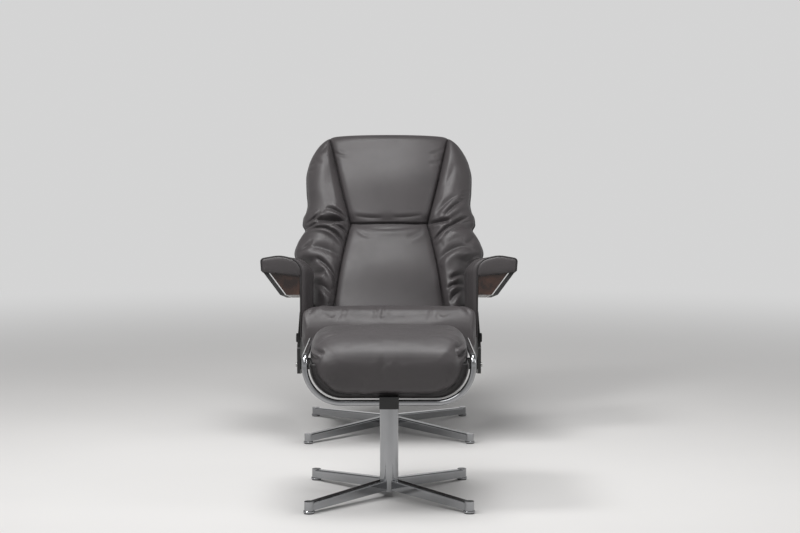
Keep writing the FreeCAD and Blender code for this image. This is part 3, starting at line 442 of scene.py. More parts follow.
def back_places(seam, half):
    """Places across the front, close together at the panel seams and at the edges."""
    right = [seam * (1 - (1 - k / PANEL_STEPS) ** PANEL_CROWDING) for k in range(PANEL_STEPS + 1)]
    for k in range(1, WING_STEPS + 1):
        right.append(seam + (half - seam) * crowded(k / WING_STEPS, WING_EVEN))
    return [-x for x in reversed(right[1:])] + right


def back_rises():
    """Heights of the rows, close together at the waist and at both ends."""
    rises = []
    for start, end, rows in ((BACK_FOOT, WAIST_LINE, ROWS_BELOW), (WAIST_LINE, BACK_TOP, ROWS_ABOVE)):
        rises += [start + (end - start) * crowded(row / rows, ROW_EVEN) for row in range(rows)]
    return rises + [BACK_TOP]


def make_back(settings):
    rings = []
    for rise in back_rises():
        half, seam = smooth_table(BACK_HALF_TABLE, rise), smooth_table(SEAM_TABLE, rise)
        places = back_places(min(seam, half - WING_LEAST), half)
        ring = [on_back(x, rise, back_out(x, rise, settings.wrinkle)) for x in places]
        for side in spread(REAR_STEPS)[-2:0:-1]:
            x, edge = half * side, rounding(side, REAR_EDGE) * back_end(rise)
            ring.append(on_back(x, rise, PAD_MIDDLE + (back_rear(x, rise) - PAD_MIDDLE) * edge))
        rings.append([tuple(p) for p in ring])
    return ring_loft("back_upholstery", rings)


# The seat cushion

# Half width, underside and top at each place behind the front edge, and creases, in millimetres
SEAT_HALF_TABLE = in_metres((0, 258), (22, 269), (132, 270), (150, 240), (300, 236), (445, 236))
SEAT_LOW_TABLE = in_metres((0, 4), (128, 4), (146, 44), (445, 44))
SEAT_HIGH_TABLE = in_metres((0, 132), (30, 143), (300, 138), (445, 126))
SEAT_CREASES = in_metres(
    (-160, 4, -132, 70, 4, 6, 1.8), (-142, 4, -128, 54, 2, 5.5, 1.6), (-44, 2, -22, 90, -4, 6, 2),
    (-26, 2, -14, 60, 2, 5, 1.6), (118, 2, 142, 80, 4, 6, 1.7), (-248, 20, -206, 110, 6, 6, 3.6),
    (250, 20, 212, 104, -6, 6, 3.6), (-120, 360, 110, 352, 10, 12, 3), (-200, 230, -80, 330, 12, 11, 3.2),
    (200, 230, 90, 330, -12, 11, 3.2))
SEAT_LENGTH, SEAT_CROWN = 0.456, 0.005
# Rounds of the front and rear ends, and how square the upper and lower edges are
SEAT_FRONT_ROUND, SEAT_REAR_ROUND, SEAT_END_LEAST = 0.040, 0.050, 0.2
SEAT_TOP_EDGE, SEAT_LOW_EDGE, SEAT_END_EDGE = 14, 7, 2.2
SEAT_ROWS, SEAT_TOP_STEPS, SEAT_LOW_STEPS = 90, 90, 60
# The folds fade out down the sides, and a groove parts the front roll from the cushion
SEAT_SIDE, SEAT_SIDE_FADE = 0.06, 0.05
ROLL_SEAM, ROLL_GROOVE = 0.147, ((0.006, 0.006),)
SEAT_PUFF = 0.006


def make_seat():
    rings = []
    for row in range(SEAT_ROWS):
        y = SEAT_LENGTH * crowded(row / (SEAT_ROWS - 1))
        half = smooth_table(SEAT_HALF_TABLE, y)
        low, high = smooth_table(SEAT_LOW_TABLE, y), smooth_table(SEAT_HIGH_TABLE, y)
        near = min(y / SEAT_FRONT_ROUND, (SEAT_LENGTH - y) / SEAT_REAR_ROUND)
        end = end_rounding(near, SEAT_END_EDGE, SEAT_END_LEAST)
        middle = (low + high) / 2
        fall = low - middle
        ring = []
        for side in spread(SEAT_TOP_STEPS):
            rise = high + SEAT_CROWN * (1 - side ** 2) - middle
            ring.append(on_seat(half * side, y, middle + rise * rounding(side, SEAT_TOP_EDGE) * end))
        for side in spread(SEAT_LOW_STEPS)[-2:0:-1]:
            ring.append(on_seat(half * side, y, middle + fall * rounding(side, SEAT_LOW_EDGE) * end))
        rings.append([tuple(p) for p in ring])
    return ring_loft("seat_upholstery", rings)


def seat_detail(settings):
    """Folds of the seat and the groove behind its front roll."""
    c, s = math.cos(SEAT_TILT), math.sin(SEAT_TILT)

    def shift(point):
        local = point - SEAT_ORIGIN
        y, z = local.y * c - local.z * s, local.z * c + local.y * s
        top = clamp((z - SEAT_SIDE) / SEAT_SIDE_FADE)
        move = settings.wrinkle * sum(crease(local.x, y, line) for line in SEAT_CREASES)
        return top * (move - groove(y - ROLL_SEAM, ROLL_GROOVE))
    return shift


# The armrests

ARM_INNER, ARM_OUTER, ARM_PANEL_OUTER = 0.2515, 0.407, 0.2835
ARM_LENGTH, ARM_THICK = 0.331, 0.045
ARM_PANEL_DROP, ARM_PANEL_END = 0.208, 0.272
ARM_CROWN_X, ARM_LIP = 0.345, 0.014
# Radii of the cover's section: foot of its outer edge, outer edge, crown and inner side
ARM_FOOT_ROUND, ARM_EDGE_ROUND, ARM_CROWN_ROUND, ARM_INNER_ROUND = 0.006, 0.010, 0.100, 0.046
# The ends draw in over these lengths, and the inner side's lower edge climbs from its bend to its end
ARM_FRONT_ROUND, ARM_REAR_ROUND, ARM_DRAW = 0.050, 0.030, 0.004
ARM_PANEL_BEND, ARM_PANEL_EDGE, ARM_LEAST_DROP = 0.190, 2.2, 0.006
ARM_ROWS = 80
# Front pad: share of the way to its middle line, and place in front of the armrest, ring by ring
ARM_FRONT_RINGS = ((0.03, 0.004), (0.03, 0.0), (0.08, -0.0024), (0.2, -0.0044), (0.4, -0.0056),
                   (0.7, -0.0062), (0.84, -0.0064))
ARM_FRONT_INSET = 0.0035
# Middle line of the front pad: its ends across, its height at the outer end and its slope
ARM_SPINE, ARM_SPINE_RISE, ARM_SPINE_SLOPE = (0.310, 0.380), 0.022, 0.16
CORNER_STEPS, OUTLINE_POINTS = 12, 220


def rounded_outline(corners):
    """Evenly spaced points round a closed outline whose corners are (x, z, radius)."""
    points, count = [], len(corners)
    for k in range(count):
        here, before, after = corners[k], corners[k - 1], corners[(k + 1) % count]
        p = Vector(here[:2])
        a = (Vector(before[:2]) - p).normalized()
        b = (Vector(after[:2]) - p).normalized()
        half = a.angle(b) / 2
        reach = here[2] / math.tan(half)
        start, end = p + a * reach, p + b * reach
        centre = p + (a + b).normalized() * (here[2] / math.sin(half))
        for bend in range(CORNER_STEPS + 1):
            way = (start - centre).lerp(end - centre, bend / CORNER_STEPS)
            points.append(centre + way.normalized() * here[2])
    return resampled(points, OUTLINE_POINTS)


def resampled(points, count):
    """As many evenly spaced points round a closed outline, from its first point on."""
    lengths = [(b - a).length for a, b in zip(points, points[1:] + points[:1])]
    step, spaced, walked, k = sum(lengths) / count, [], 0.0, 0
    for number in range(count):
        while walked + lengths[k] < number * step:
            walked += lengths[k]
            k += 1
        share = (number * step - walked) / max(lengths[k], 1e-9)
        spaced.append(points[k].lerp(points[(k + 1) % len(points)], share))
    return spaced


def arm_outline(swell, drop):
    """Section of an armrest: the cover runs over the pad and, in a wide round, down its inner side."""
    inner = ARM_PANEL_OUTER - ARM_DRAW - (ARM_PANEL_OUTER - ARM_DRAW - ARM_INNER) * swell
    foot = min(0.012, drop * 0.4)
    return rounded_outline((
        (ARM_OUTER - 0.003 * (1 - swell), 0.0004, ARM_FOOT_ROUND),
        (ARM_OUTER + 0.001 * swell, ARM_THICK - 0.003, ARM_EDGE_ROUND + 0.006 * swell),
        (ARM_CROWN_X, ARM_THICK + 0.008, ARM_CROWN_ROUND),
        (inner, ARM_THICK - 0.011 + 0.006 * swell, ARM_INNER_ROUND),
        (inner + 0.002, -drop, foot * 0.5), (ARM_PANEL_OUTER, -drop, foot * 0.12),
        (ARM_PANEL_OUTER, -min(ARM_LIP, drop * 0.5), 0.0003)))


def on_arm(x, y, z):
    """Point on an armrest, whose uprights stay vertical while it slopes down to the rear."""
    return ARM_ORIGIN + Vector((x, y, z - y * math.tan(ARM_SLOPE)))


def arm_drop(y):
    """How far the inner side hangs down: its rear lower corner is rounded off."""
    share = clamp((y - ARM_PANEL_BEND) / (ARM_PANEL_END - ARM_PANEL_BEND))
    return ARM_LEAST_DROP + (ARM_PANEL_DROP - ARM_LEAST_DROP) * rounding(share, ARM_PANEL_EDGE)


def arm_swell(y):
    """How full the cover is: 0 at both ends and 1 between their rounds."""
    return end_rounding(min(y / ARM_FRONT_ROUND, (ARM_LENGTH - y) / ARM_REAR_ROUND), 2, 0.0)


def make_arm(name, sign):
    rings = []
    for row in range(ARM_ROWS):
        y = ARM_LENGTH * crowded(row / (ARM_ROWS - 1))
        outline = arm_outline(arm_swell(y), arm_drop(y))
        rings.append([tuple(on_arm(sign * p.x, y, p.y)) for p in outline])
    return ring_loft(name, rings, flat_ends=True)


def make_arm_front(name, sign):
    """Thin pad on the front face of an armrest."""
    inner = ARM_PANEL_OUTER - ARM_FRONT_INSET
    spine_start, spine_end = ARM_SPINE
    outline = rounded_outline((
        (ARM_OUTER - ARM_FRONT_INSET, 0.001, ARM_FOOT_ROUND),
        (ARM_OUTER - 0.001, ARM_THICK - 0.003, ARM_EDGE_ROUND),
        (ARM_CROWN_X, ARM_THICK + 0.0075, ARM_CROWN_ROUND),
        (inner, ARM_THICK - 0.0115, ARM_INNER_ROUND - 0.002), (inner, -ARM_LIP, 0.004)))
    rings = []
    for share, y in ARM_FRONT_RINGS:
        ring = []
        for p in outline:
            x = max(spine_start, min(spine_end, p.x))
            middle = Vector((x, ARM_SPINE_RISE - ARM_SPINE_SLOPE * (spine_end - x)))
            place = p.lerp(middle, share)
            ring.append(tuple(on_arm(sign * place.x, y, place.y)))
        rings.append(ring)
    return ring_loft(name, rings)


# The stool cushion

# Pillow: heights of its underside and top, and the half length and height of its middle line
STOOL_LOW, STOOL_TOP, STOOL_SPINE = 0.302, 0.450, (0.106, 0.370)
STOOL_HALF, STOOL_DEPTH, STOOL_ROUND, STOOL_SHOULDER = 0.2074, 0.2125, 0.108, 0.416
SEAM_BELOW_SHOULDER = 0.008
# Border below the pillow: heights, lower rounds, half depth and half width, and its edges
BORDER_LOW, BORDER_TOP, BORDER_ROUND, BORDER_DEPTH = 0.2932, 0.384, 0.0845, 0.190
BORDER_HALF = 0.2065
BORDER_EDGE_ROUND, BORDER_EDGE, BORDER_ROWS = 0.006, 24, 25
# The pillow's shoulders, its narrower top and the crown on it, and how square its lower and upper edges are
SHOULDER_ROUND, TOP_ROUND, TOP_INSET, TOP_CROWN = 0.050, 0.034, 0.010, 0.006
STOOL_EDGE_LOW, STOOL_EDGE_SOFTER, STOOL_ROWS = 8, 5.3, 90
# Folds in the front fade in from the middle outwards, and those in the top over its edge
FRONT_FOLDS, FRONT_FADE = 0.10, 0.08
TOP_FOLDS, TOP_FADE = 0.425, 0.02
STOOL_PUFF = 0.0015
# Creases in the cushion's front and top, in millimetres: both ends, bow, width and depth
STOOL_CREASES = in_metres(
    (-214, 428, -166, 412, 3, 4.5, 7.5), (-212, 408, -178, 396, 2, 4.2, 4.5),
    (214, 438, 168, 426, -3, 4.8, 11), (212, 418, 176, 404, -3, 4.8, 8.5), (-20, 318, -14, 430, 3, 8, 0.5),
    (34, 322, 26, 434, -3, 8, 0.5), (-90, 302, -62, 352, 4, 8, 2.4), (130, 310, 148, 360, 4, 8, 2.6),
    (-168, 330, -120, 362, 4, 8, 2.4))
STOOL_TOP_CREASES = in_metres(
    (-196, 150, -120, 100, 8, 10, 3), (196, 150, 120, 100, -8, 10, 3.4))


def stool_outline():
    """The cushion from the front: wide rounds below, fuller shoulders and a crowned top."""
    outline = rounded_outline((
        (-STOOL_HALF, STOOL_LOW, STOOL_ROUND), (STOOL_HALF, STOOL_LOW, STOOL_ROUND),
        (STOOL_HALF, STOOL_SHOULDER, SHOULDER_ROUND), (STOOL_HALF - TOP_INSET, STOOL_TOP, TOP_ROUND),
        (-STOOL_HALF + TOP_INSET, STOOL_TOP, TOP_ROUND), (-STOOL_HALF, STOOL_SHOULDER, SHOULDER_ROUND)))
    middle = STOOL_SPINE[1]
    for p in outline:
        high = max(0.0, (p.y - middle) / (STOOL_TOP - middle))
        p.y += TOP_CROWN * high * (1 - (p.x / STOOL_HALF) ** 2)
    return outline


def ring_shares(count):
    """Places of the rings from front to rear, from -1 to 1 without the ends themselves."""
    return [math.sin(math.pi / 2 * ((2 * k + 1) / count - 1)) for k in range(count)]


def to_spine(p, share):
    """Point of the outline drawn in towards the cushion's middle line."""
    spine = Vector((max(-STOOL_SPINE[0], min(STOOL_SPINE[0], p.x)), STOOL_SPINE[1]))
    return spine.lerp(p, share)


def make_stool():
    """Pillow: tight at the seam round its lower edge, plump over the front and the top."""
    outline = stool_outline()
    rings = []
    for share in ring_shares(STOOL_ROWS):
        ring = []
        for p in outline:
            high = clamp((p.y - STOOL_LOW) / (STOOL_TOP - STOOL_LOW))
            power = STOOL_EDGE_LOW - STOOL_EDGE_SOFTER * high * high * (3 - 2 * high)
            place = to_spine(p, rounding(share, power))
            ring.append((place.x, STOOL_AXIS_Y + STOOL_DEPTH * share, place.y))
        rings.append(ring)
    return ring_loft("stool_upholstery", rings)


def make_stool_border():
    """Border below the cushion's seam, which lies in the round of the tube."""
    half, middle = BORDER_HALF, STOOL_SPINE[1]
    outline = rounded_outline((
        (-half, BORDER_LOW, BORDER_ROUND), (half, BORDER_LOW, BORDER_ROUND),
        (half, BORDER_TOP, BORDER_EDGE_ROUND), (-half, BORDER_TOP, BORDER_EDGE_ROUND)))
    rings = []
    for share in ring_shares(BORDER_ROWS):
        place = rounding(share, BORDER_EDGE)
        y = STOOL_AXIS_Y + BORDER_DEPTH * share
        rings.append([(p.x * place, y, middle + (p.y - middle) * place) for p in outline])
    return ring_loft("stool_border", rings)


def stool_seam(share):
    """Path round the cushion's lower edge as seen from the front, drawn in to a share of its outline."""
    highest = STOOL_SHOULDER - SEAM_BELOW_SHOULDER
    path = [to_spine(p, share) for p in stool_outline() if p.y < highest]
    turn = max(range(len(path)), key=lambda k: (path[k] - path[k - 1]).length)
    return path[turn:] + path[:turn]


def stool_detail(settings):
    """Folds of the pillow, the same from the front and from the rear."""
    def shift(point):
        y = point.y - STOOL_AXIS_Y
        front = clamp((abs(y) - FRONT_FOLDS) / FRONT_FADE)
        top = clamp((point.z - TOP_FOLDS) / TOP_FADE)
        way = -1 if y > 0 else 1
        move = front * (1 - top) * sum(crease(way * point.x, point.z, line) for line in STOOL_CREASES)
        move += top * sum(crease(way * point.x, abs(y), line) for line in STOOL_TOP_CREASES)
        return settings.wrinkle * move
    return shift


# Node tools

def feed(tree, node, inputs):
    """Give each named input of a node a value, or another node's socket."""
    for key, value in inputs.items():
        if isinstance(value, bpy.types.NodeSocket):
            tree.links.new(value, node.inputs[key])
        else:
            node.inputs[key].default_value = value
    return node


def add(tree, kind, inputs=None, **settings):
    """New node with its own settings, and with its inputs fed."""
    node = tree.nodes.new(kind)
    for key, value in settings.items():
        setattr(node, key, value)
    return feed(tree, node, inputs or {})


def noise(tree, vector, scale, detail, distortion=0.0):
    inputs = {"Vector": vector, "Scale": scale, "Detail": detail, "Distortion": distortion}
    return add(tree, "ShaderNodeTexNoise", inputs).outputs["Fac"]


def math_node(tree, operation, a, b):
    return add(tree, "ShaderNodeMath", {0: a, 1: b}, operation=operation).outputs[0]


def ramp(tree, factor, low, high, start, end, curve="LINEAR"):
    """Value that runs from low to high while the factor runs from start to end."""
    inputs = {"Value": factor, "From Min": start, "From Max": end, "To Min": low, "To Max": high}
    return add(tree, "ShaderNodeMapRange", inputs, interpolation_type=curve).outputs["Result"]


def mixed(tree, factor, low, high):
    """Colour between low and high, each a socket or a colour."""
    ends = [value if isinstance(value, bpy.types.NodeSocket) else (*value, 1) for value in (low, high)]
    inputs = {"Factor": factor, 6: ends[0], 7: ends[1]}
    return add(tree, "ShaderNodeMix", inputs, data_type="RGBA").outputs[2]


def mixed_shader(tree, factor, low, high):
    return add(tree, "ShaderNodeMixShader", {"Fac": factor, 1: low, 2: high}).outputs["Shader"]


def bumped(tree, height, strength, distance):
    inputs = {"Height": height, "Strength": strength, "Distance": distance}
    return add(tree, "ShaderNodeBump", inputs).outputs["Normal"]


def shaded(colour, share):
    """The colour, darker or lighter by a share."""
    return tuple(min(1.0, c * share) for c in colour)


def new_material(name, **values):
    """Principled material; values are the shader's own sockets, with underscores for spaces."""
    material = bpy.data.materials.new(name + "_finish")
    material.use_nodes = True
    FINISHES[name] = material
    tree = material.node_tree
    inputs = {key.replace("_", " "): value for key, value in values.items()}
    shader = feed(tree, tree.nodes["Principled BSDF"], inputs)
    return tree, shader, add(tree, "ShaderNodeTexCoord").outputs["Object"]


def use_group(tree, group, place, **values):
    """Outputs of a shader group at a place on the piece."""
    return add(tree, "ShaderNodeGroup", {"Place": place, **values}, node_tree=group).outputs


def new_group(name, kind, first, first_kind, inputs):
    """Node group whose first input carries what it works on, followed by numbers."""
    group = bpy.data.node_groups.new(name, kind)
    group.interface.new_socket(first, in_out="INPUT", socket_type=first_kind)
    for label, value in inputs:
        socket = group.interface.new_socket(label, in_out="INPUT", socket_type="NodeSocketFloat")
        socket.default_value = value
    return group


def placed_group(name, inputs, outputs):
    """Shader group whose first input is the place on the piece."""
    group = new_group(name, "ShaderNodeTree", "Place", "NodeSocketVector", inputs)
    for label in outputs:
        group.interface.new_socket(label, in_out="OUTPUT", socket_type="NodeSocketFloat")
    return group, group.nodes.new("NodeGroupInput").outputs, group.nodes.new("NodeGroupOutput")


def hide_grain_group():
    """Pebbled hide: cells with fine pores, and soft blotches of colour."""
    group, source, sink = placed_group(
        "hide_grain", (("Cells", 620.0), ("Blotches", 9.0)), ("Height", "Blotch", "Rub"))
    place = source["Place"]
    inputs = {"Vector": place, "Scale": source["Cells"], "Smoothness": 0.35}
    cells = add(group, "ShaderNodeTexVoronoi", inputs, feature="SMOOTH_F1").outputs["Distance"]
    dents = math_node(group, "MULTIPLY", cells, -0.7)
    pores = math_node(group, "MULTIPLY", noise(group, place, 1900, 2), 0.35)
    feed(group, sink, {"Height": math_node(group, "ADD", dents, pores),
                       "Blotch": noise(group, place, source["Blotches"], 4),
                       "Rub": noise(group, place, 55, 5)})
    return group


def handling_group():
    """Faint smears and dust that bare metal and plastic pick up."""
    group, source, sink = placed_group("handling", (("Size", 18.0), ("Grit", 900.0)), ("Smear", "Grit"))
    feed(group, sink, {"Smear": noise(group, source["Place"], source["Size"], 5),
                       "Grit": noise(group, source["Place"], source["Grit"], 2)})
    return group


def timber_group():
    """Straight grain along Y with dark pores."""
    group, source, sink = placed_group("timber", (("Rings", 26.0), ("Pores", 150.0)), ("Figure", "Pore"))
    inputs = {"Vector": source["Place"], "Scale": (1, 0.06, 1)}
    place = add(group, "ShaderNodeMapping", inputs).outputs["Vector"]
    feed(group, sink, {"Figure": noise(group, place, source["Rings"], 6, 0.4),
                       "Pore": noise(group, place, source["Pores"], 3, 0.4)})
    return group


# Materials

FINISHES = {}


def leather_material(name, colour, group, folds=False):
    tree, shader, place = new_material(name, Specular_IOR_Level=0.5)
    hide = use_group(tree, group, place)
    tint = mixed(tree, ramp(tree, hide["Blotch"], 0, 1, 0.3, 0.7), shaded(colour, 0.62), colour)
    tint = mixed(tree, ramp(tree, hide["Blotch"], 0.45, 1, 0.25, 0.6), tint, colour)
    # Painted shade: the leather darkens in its folds, and a painted highlight lightens it on their ridges.
    if folds:
        fold = add(tree, "ShaderNodeAttribute", attribute_name="fold").outputs["Fac"]
        tint = mixed(tree, ramp(tree, fold, 0, 0.75, 0.05, 0.8), tint, shaded(colour, 0.34))
        tint = mixed(tree, ramp(tree, fold, 0.8, 0, -0.7, -0.04), tint, shaded(colour, 1.4))
    feed(tree, shader, {"Base Color": tint, "Roughness": ramp(tree, hide["Rub"], 0.43, 0.50, 0.3, 0.7),
                        "Normal": bumped(tree, hide["Height"], 0.32, 0.0006)})


def metal_material(name, colour, rough, group, bump):
    tree, shader, place = new_material(name, Metallic=1.0)
    touch = use_group(tree, group, place)
    tint = mixed(tree, ramp(tree, touch["Smear"], 0, 1, 0.3, 0.75), shaded(colour, 0.9), colour)
    smears = ramp(tree, touch["Smear"], rough, rough * 1.9, 0.35, 0.75)
    feed(tree, shader, {"Base Color": tint, "Roughness": smears,
                        "Normal": bumped(tree, touch["Grit"], bump, 0.0002)})


def coated_material(name, colour, rough, group, bump):
    """Powder coat or moulded plastic with a fine texture."""
    tree, shader, place = new_material(name, Specular_IOR_Level=0.45)
    touch = use_group(tree, group, place)
    tint = mixed(tree, ramp(tree, touch["Smear"], 0, 1, 0.3, 0.75), colour, shaded(colour, 1.5))
    smears = ramp(tree, touch["Smear"], rough, rough + 0.12, 0.3, 0.7)
    feed(tree, shader, {"Base Color": tint, "Roughness": smears,
                        "Normal": bumped(tree, touch["Grit"], bump, 0.0004)})


def timber_material(name, dark, light, rough, group):
    tree, shader, place = new_material(name, Coat_Weight=0.15, Coat_Roughness=0.25)
    grain = use_group(tree, group, place)
    tint = mixed(tree, ramp(tree, grain["Figure"], 0, 1, 0.35, 0.65), dark, light)
    tint = mixed(tree, ramp(tree, grain["Pore"], 0, 0.5, 0.55, 0.7), tint, shaded(dark, 0.5))
    lacquer = ramp(tree, grain["Figure"], rough, rough + 0.1, 0.3, 0.7)
    feed(tree, shader, {"Base Color": tint, "Roughness": lacquer,
                        "Normal": bumped(tree, grain["Pore"], 0.15, 0.0005)})


def woven_material(name, colour, group):
    tree, shader, place = new_material(name, Roughness=0.85)
    threads = use_group(tree, group, place, Grit=1400.0)["Grit"]
    feed(tree, shader, {"Base Color": mixed(tree, threads, shaded(colour, 0.6), shaded(colour, 1.6)),
                        "Normal": bumped(tree, threads, 0.5, 0.0006)})


def make_materials(settings):
    hide, touch, timber = hide_grain_group(), handling_group(), timber_group()
    leather = tuple(settings.leather)
    # The main leather carries painted shade in its folds and painted highlights on their ridges.
    leather_material("grey_leather", leather, hide, folds=True)
    # Darker leather, for the piping and as painted shade on the stool's border.
    leather_material("piping_and_border_shade_leather", shaded(leather, 0.42), hide)
    # Near-black leather for cords in the seams, as painted shade.
    leather_material("seam_shade_leather", shaded(leather, 0.09), hide)
    woven_material("thread", shaded(leather, 0.9), touch)
    metal_material("polished_metal", tuple(settings.metal), 0.07, touch, 0.02)
    metal_material("zinc_steel", (0.46, 0.46, 0.45), 0.26, touch, 0.08)
    coated_material("black_steel", (0.012, 0.012, 0.012), 0.36, touch, 0.12)
    coated_material("black_plastic", (0.014, 0.014, 0.014), 0.46, touch, 0.25)
    timber_material("walnut", (0.014, 0.007, 0.0055), (0.052, 0.024, 0.016), 0.24, timber)
    timber_material("beech", (0.022, 0.017, 0.014), (0.046, 0.034, 0.026), 0.5, timber)
    metal_material("bright_strip", (0.86, 0.86, 0.86), 0.22, touch, 0.02)
    woven_material("webbing", (0.02, 0.02, 0.02), touch)


def paint(obj, name):
    obj.data.materials.clear()
    obj.data.materials.append(FINISHES[name])


# Geometry Nodes: sewn stitches and round piping along a path

def path_curve(name, points):
    curve = bpy.data.curves.new(name, "CURVE")
    curve.dimensions = "3D"
    spline = curve.splines.new("POLY")
    spline.points.add(len(points) - 1)
    for target, point in zip(spline.points, points):
        target.co = (*point, 1)
    obj = bpy.data.objects.new(name, curve)
    bpy.context.scene.collection.objects.link(obj)
    return obj


def geometry_group(name, inputs):
    """Tree that turns a path into geometry of one material."""
    group = new_group(name, "GeometryNodeTree", "Geometry", "NodeSocketGeometry", inputs)
    group.interface.new_socket("Material", in_out="INPUT", socket_type="NodeSocketMaterial")
    group.interface.new_socket("Geometry", in_out="OUTPUT", socket_type="NodeSocketGeometry")
    return group, group.nodes.new("NodeGroupInput").outputs


def finish_group(group, source, geometry):
    """Last nodes of every tree: real geometry, smooth, with its material."""
    for kind in ("GeometryNodeRealizeInstances", "GeometryNodeSetShadeSmooth", "GeometryNodeSetMaterial"):
        node = add(group, kind, {"Geometry": geometry})
        geometry = node.outputs["Geometry"]
    feed(group, node, {"Material": source["Material"]})
    add(group, "NodeGroupOutput", {"Geometry": geometry})


def stitch_group():
    """Short round stitches, one after another along a path."""
    group, source = geometry_group("stitch_row", (("Pitch", 0.006), ("Length", 0.0042), ("Radius", 0.0006)))
    inputs = {"Curve": source["Geometry"], "Length": source["Pitch"]}
    steps = add(group, "GeometryNodeResampleCurve", inputs, mode="LENGTH").outputs["Curve"]
    inputs = {"Vertices": 6, "Radius": source["Radius"], "Depth": source["Length"]}
    thread = add(group, "GeometryNodeMeshCylinder", inputs).outputs["Mesh"]
    inputs = {"Vector": add(group, "GeometryNodeInputTangent").outputs["Tangent"]}
    turn = add(group, "FunctionNodeAlignRotationToVector", inputs, axis="Z").outputs["Rotation"]
    inputs = {"Points": steps, "Instance": thread, "Rotation": turn}
    finish_group(group, source, add(group, "GeometryNodeInstanceOnPoints", inputs).outputs["Instances"])


def piping_group():
    """Round cord covered in leather, along a path."""
    group, source = geometry_group("piping", (("Radius", 0.0026),))
    inputs = {"Resolution": 10, "Radius": source["Radius"]}
    ring = add(group, "GeometryNodeCurvePrimitiveCircle", inputs).outputs["Curve"]
    inputs = {"Curve": source["Geometry"], "Profile Curve": ring, "Fill Caps": True}
    finish_group(group, source, add(group, "GeometryNodeCurveToMesh", inputs).outputs["Mesh"])


def along_path(name, points, group, material, values):
    """Plain mesh that a node tree makes along a path."""
    path = path_curve(name + "_path", points)
    modifier = path.modifiers.new("Nodes", "NODES")
    modifier.node_group = bpy.data.node_groups[group]
    values = {**values, "Material": FINISHES[material]}
    for item in modifier.node_group.interface.items_tree:
        if item.in_out == "INPUT" and item.name in values:
            modifier[item.identifier] = values[item.name]
    depsgraph = bpy.context.evaluated_depsgraph_get()
    mesh = bpy.data.meshes.new_from_object(path.evaluated_get(depsgraph))
    curve = path.data
    bpy.data.objects.remove(path)
    bpy.data.curves.remove(curve)
    obj = bpy.data.objects.new(name, mesh)
    bpy.context.scene.collection.objects.link(obj)
    paint(obj, material)
    return obj


def over_hinge(obj):
    """Leather that crosses the head hinge: its placement is baked into its mesh."""
    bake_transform(obj)


def laid_on(obj, points, direction, lift):
    """Points that a straight line along the direction finds on a piece, lifted off its surface."""
    corners = [v.co.copy() for v in obj.data.vertices]
    tree = BVHTree.FromPolygons(corners, [list(face.vertices) for face in obj.data.polygons])
    found = []
    for point in points:
        place, normal, face, distance = tree.ray_cast(Vector(point), Vector(direction))
        if place:
            found.append(place + normal * lift)
    return found


def trim(name, points, group, material, mover, **values):
    """Sewn detail along a path, on the body that carries its cover, or baked in place where it crosses the
    head hinge.
    """
    detail = along_path(name, points, group, material, values)
    if mover == "hinge":
        over_hinge(detail)
    else:
        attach(detail, mover)


# Sewn trims

SEAM_SHADE_CORD, BACK_CORD, ARM_CORD, STOOL_CORD = 0.0015, 0.0028, 0.0024, 0.0022
STITCH_OFFSET = 0.0085
# The back's seams and piping run between these distances from its foot and top
SEAM_START, SEAM_END, SEAM_POINTS = 0.05, 0.012, 260
EDGE_START, EDGE_END, EDGE_POINTS, EDGE_OUT = 0.02, 0.0005, 240, 0.0005
STITCHES_SHORT = 8
WAIST_POINTS, WAIST_REACH = 121, 0.985
ARM_CORD_FOOT, ARM_STITCH_FOOT, ARM_STITCH_Y = 0.004, 0.012, 0.009
STOOL_CORD_SHARE, STOOL_CORD_LIFT, STOOL_STITCH_LIFT, STOOL_STITCH_SHORT = 0.935, 0.0006, 0.0004, 6
STOOL_CLEAR = 0.5


def back_trim(settings):
    """Seams of the centre panels with stitches beside them, and piping round the edge of the back; near-black
    cords lie in the panel and waist seams as painted shade.
    """
    def sewn(x, rise):
        return on_back(x, rise, back_out(x, rise, settings.wrinkle))

    def rises(start, end, count):
        length = BACK_TOP - BACK_FOOT - start - end
        return [BACK_FOOT + start + length * k / (count - 1) for k in range(count)]

    seam_rises = rises(SEAM_START, SEAM_END, SEAM_POINTS)
    for side, sign in SIDES:
        for label, offset in (("inner", -STITCH_OFFSET), ("outer", STITCH_OFFSET)):
            row = [sewn(sign * (smooth_table(SEAM_TABLE, rise) + offset), rise)
                   for rise in seam_rises[:-STITCHES_SHORT]]
            trim("back_stitches_{}_{}".format(side, label), row, "stitch_row", "thread", "hinge",
                 Pitch=settings.stitch)
        # A near-black cord in the panel seam's groove paints its shade.
        seam = [sewn(sign * smooth_table(SEAM_TABLE, rise), rise) for rise in seam_rises]
        trim("back_seam_" + side, seam, "piping", "seam_shade_leather", "hinge", Radius=SEAM_SHADE_CORD)
    waist = []
    for k in range(WAIST_POINTS):
        share = WAIST_REACH * (2 * k / (WAIST_POINTS - 1) - 1)
        rise = WAIST_LINE + waist_climb(share)
        waist.append(sewn(share * smooth_table(SEAM_TABLE, rise), rise))
    # A near-black cord in the waist seam's groove paints its shade.
    trim("waist_seam", waist, "piping", "seam_shade_leather", "hinge", Radius=SEAM_SHADE_CORD)
    edge_rises = rises(EDGE_START, EDGE_END, EDGE_POINTS)
    edge = []
    for sign, run in ((-1, edge_rises), (1, edge_rises[::-1])):
        for rise in run:
            half = smooth_table(BACK_HALF_TABLE, rise) + EDGE_OUT
            edge.append(on_back(sign * half, rise, PAD_MIDDLE * back_end(rise)))
    trim("back_piping", edge, "piping", "piping_and_border_shade_leather", "hinge", Radius=BACK_CORD)


def arm_path(sign, y, foot, skipped):
    """Line over an armrest's cover, from its outer edge to a little above the foot of its inner side."""
    path = []
    for p in arm_outline(arm_swell(y), arm_drop(y)):
        if p.y < foot - arm_drop(y):
            break
        path.append(on_arm(sign * p.x, y, p.y))
    return path[skipped:]


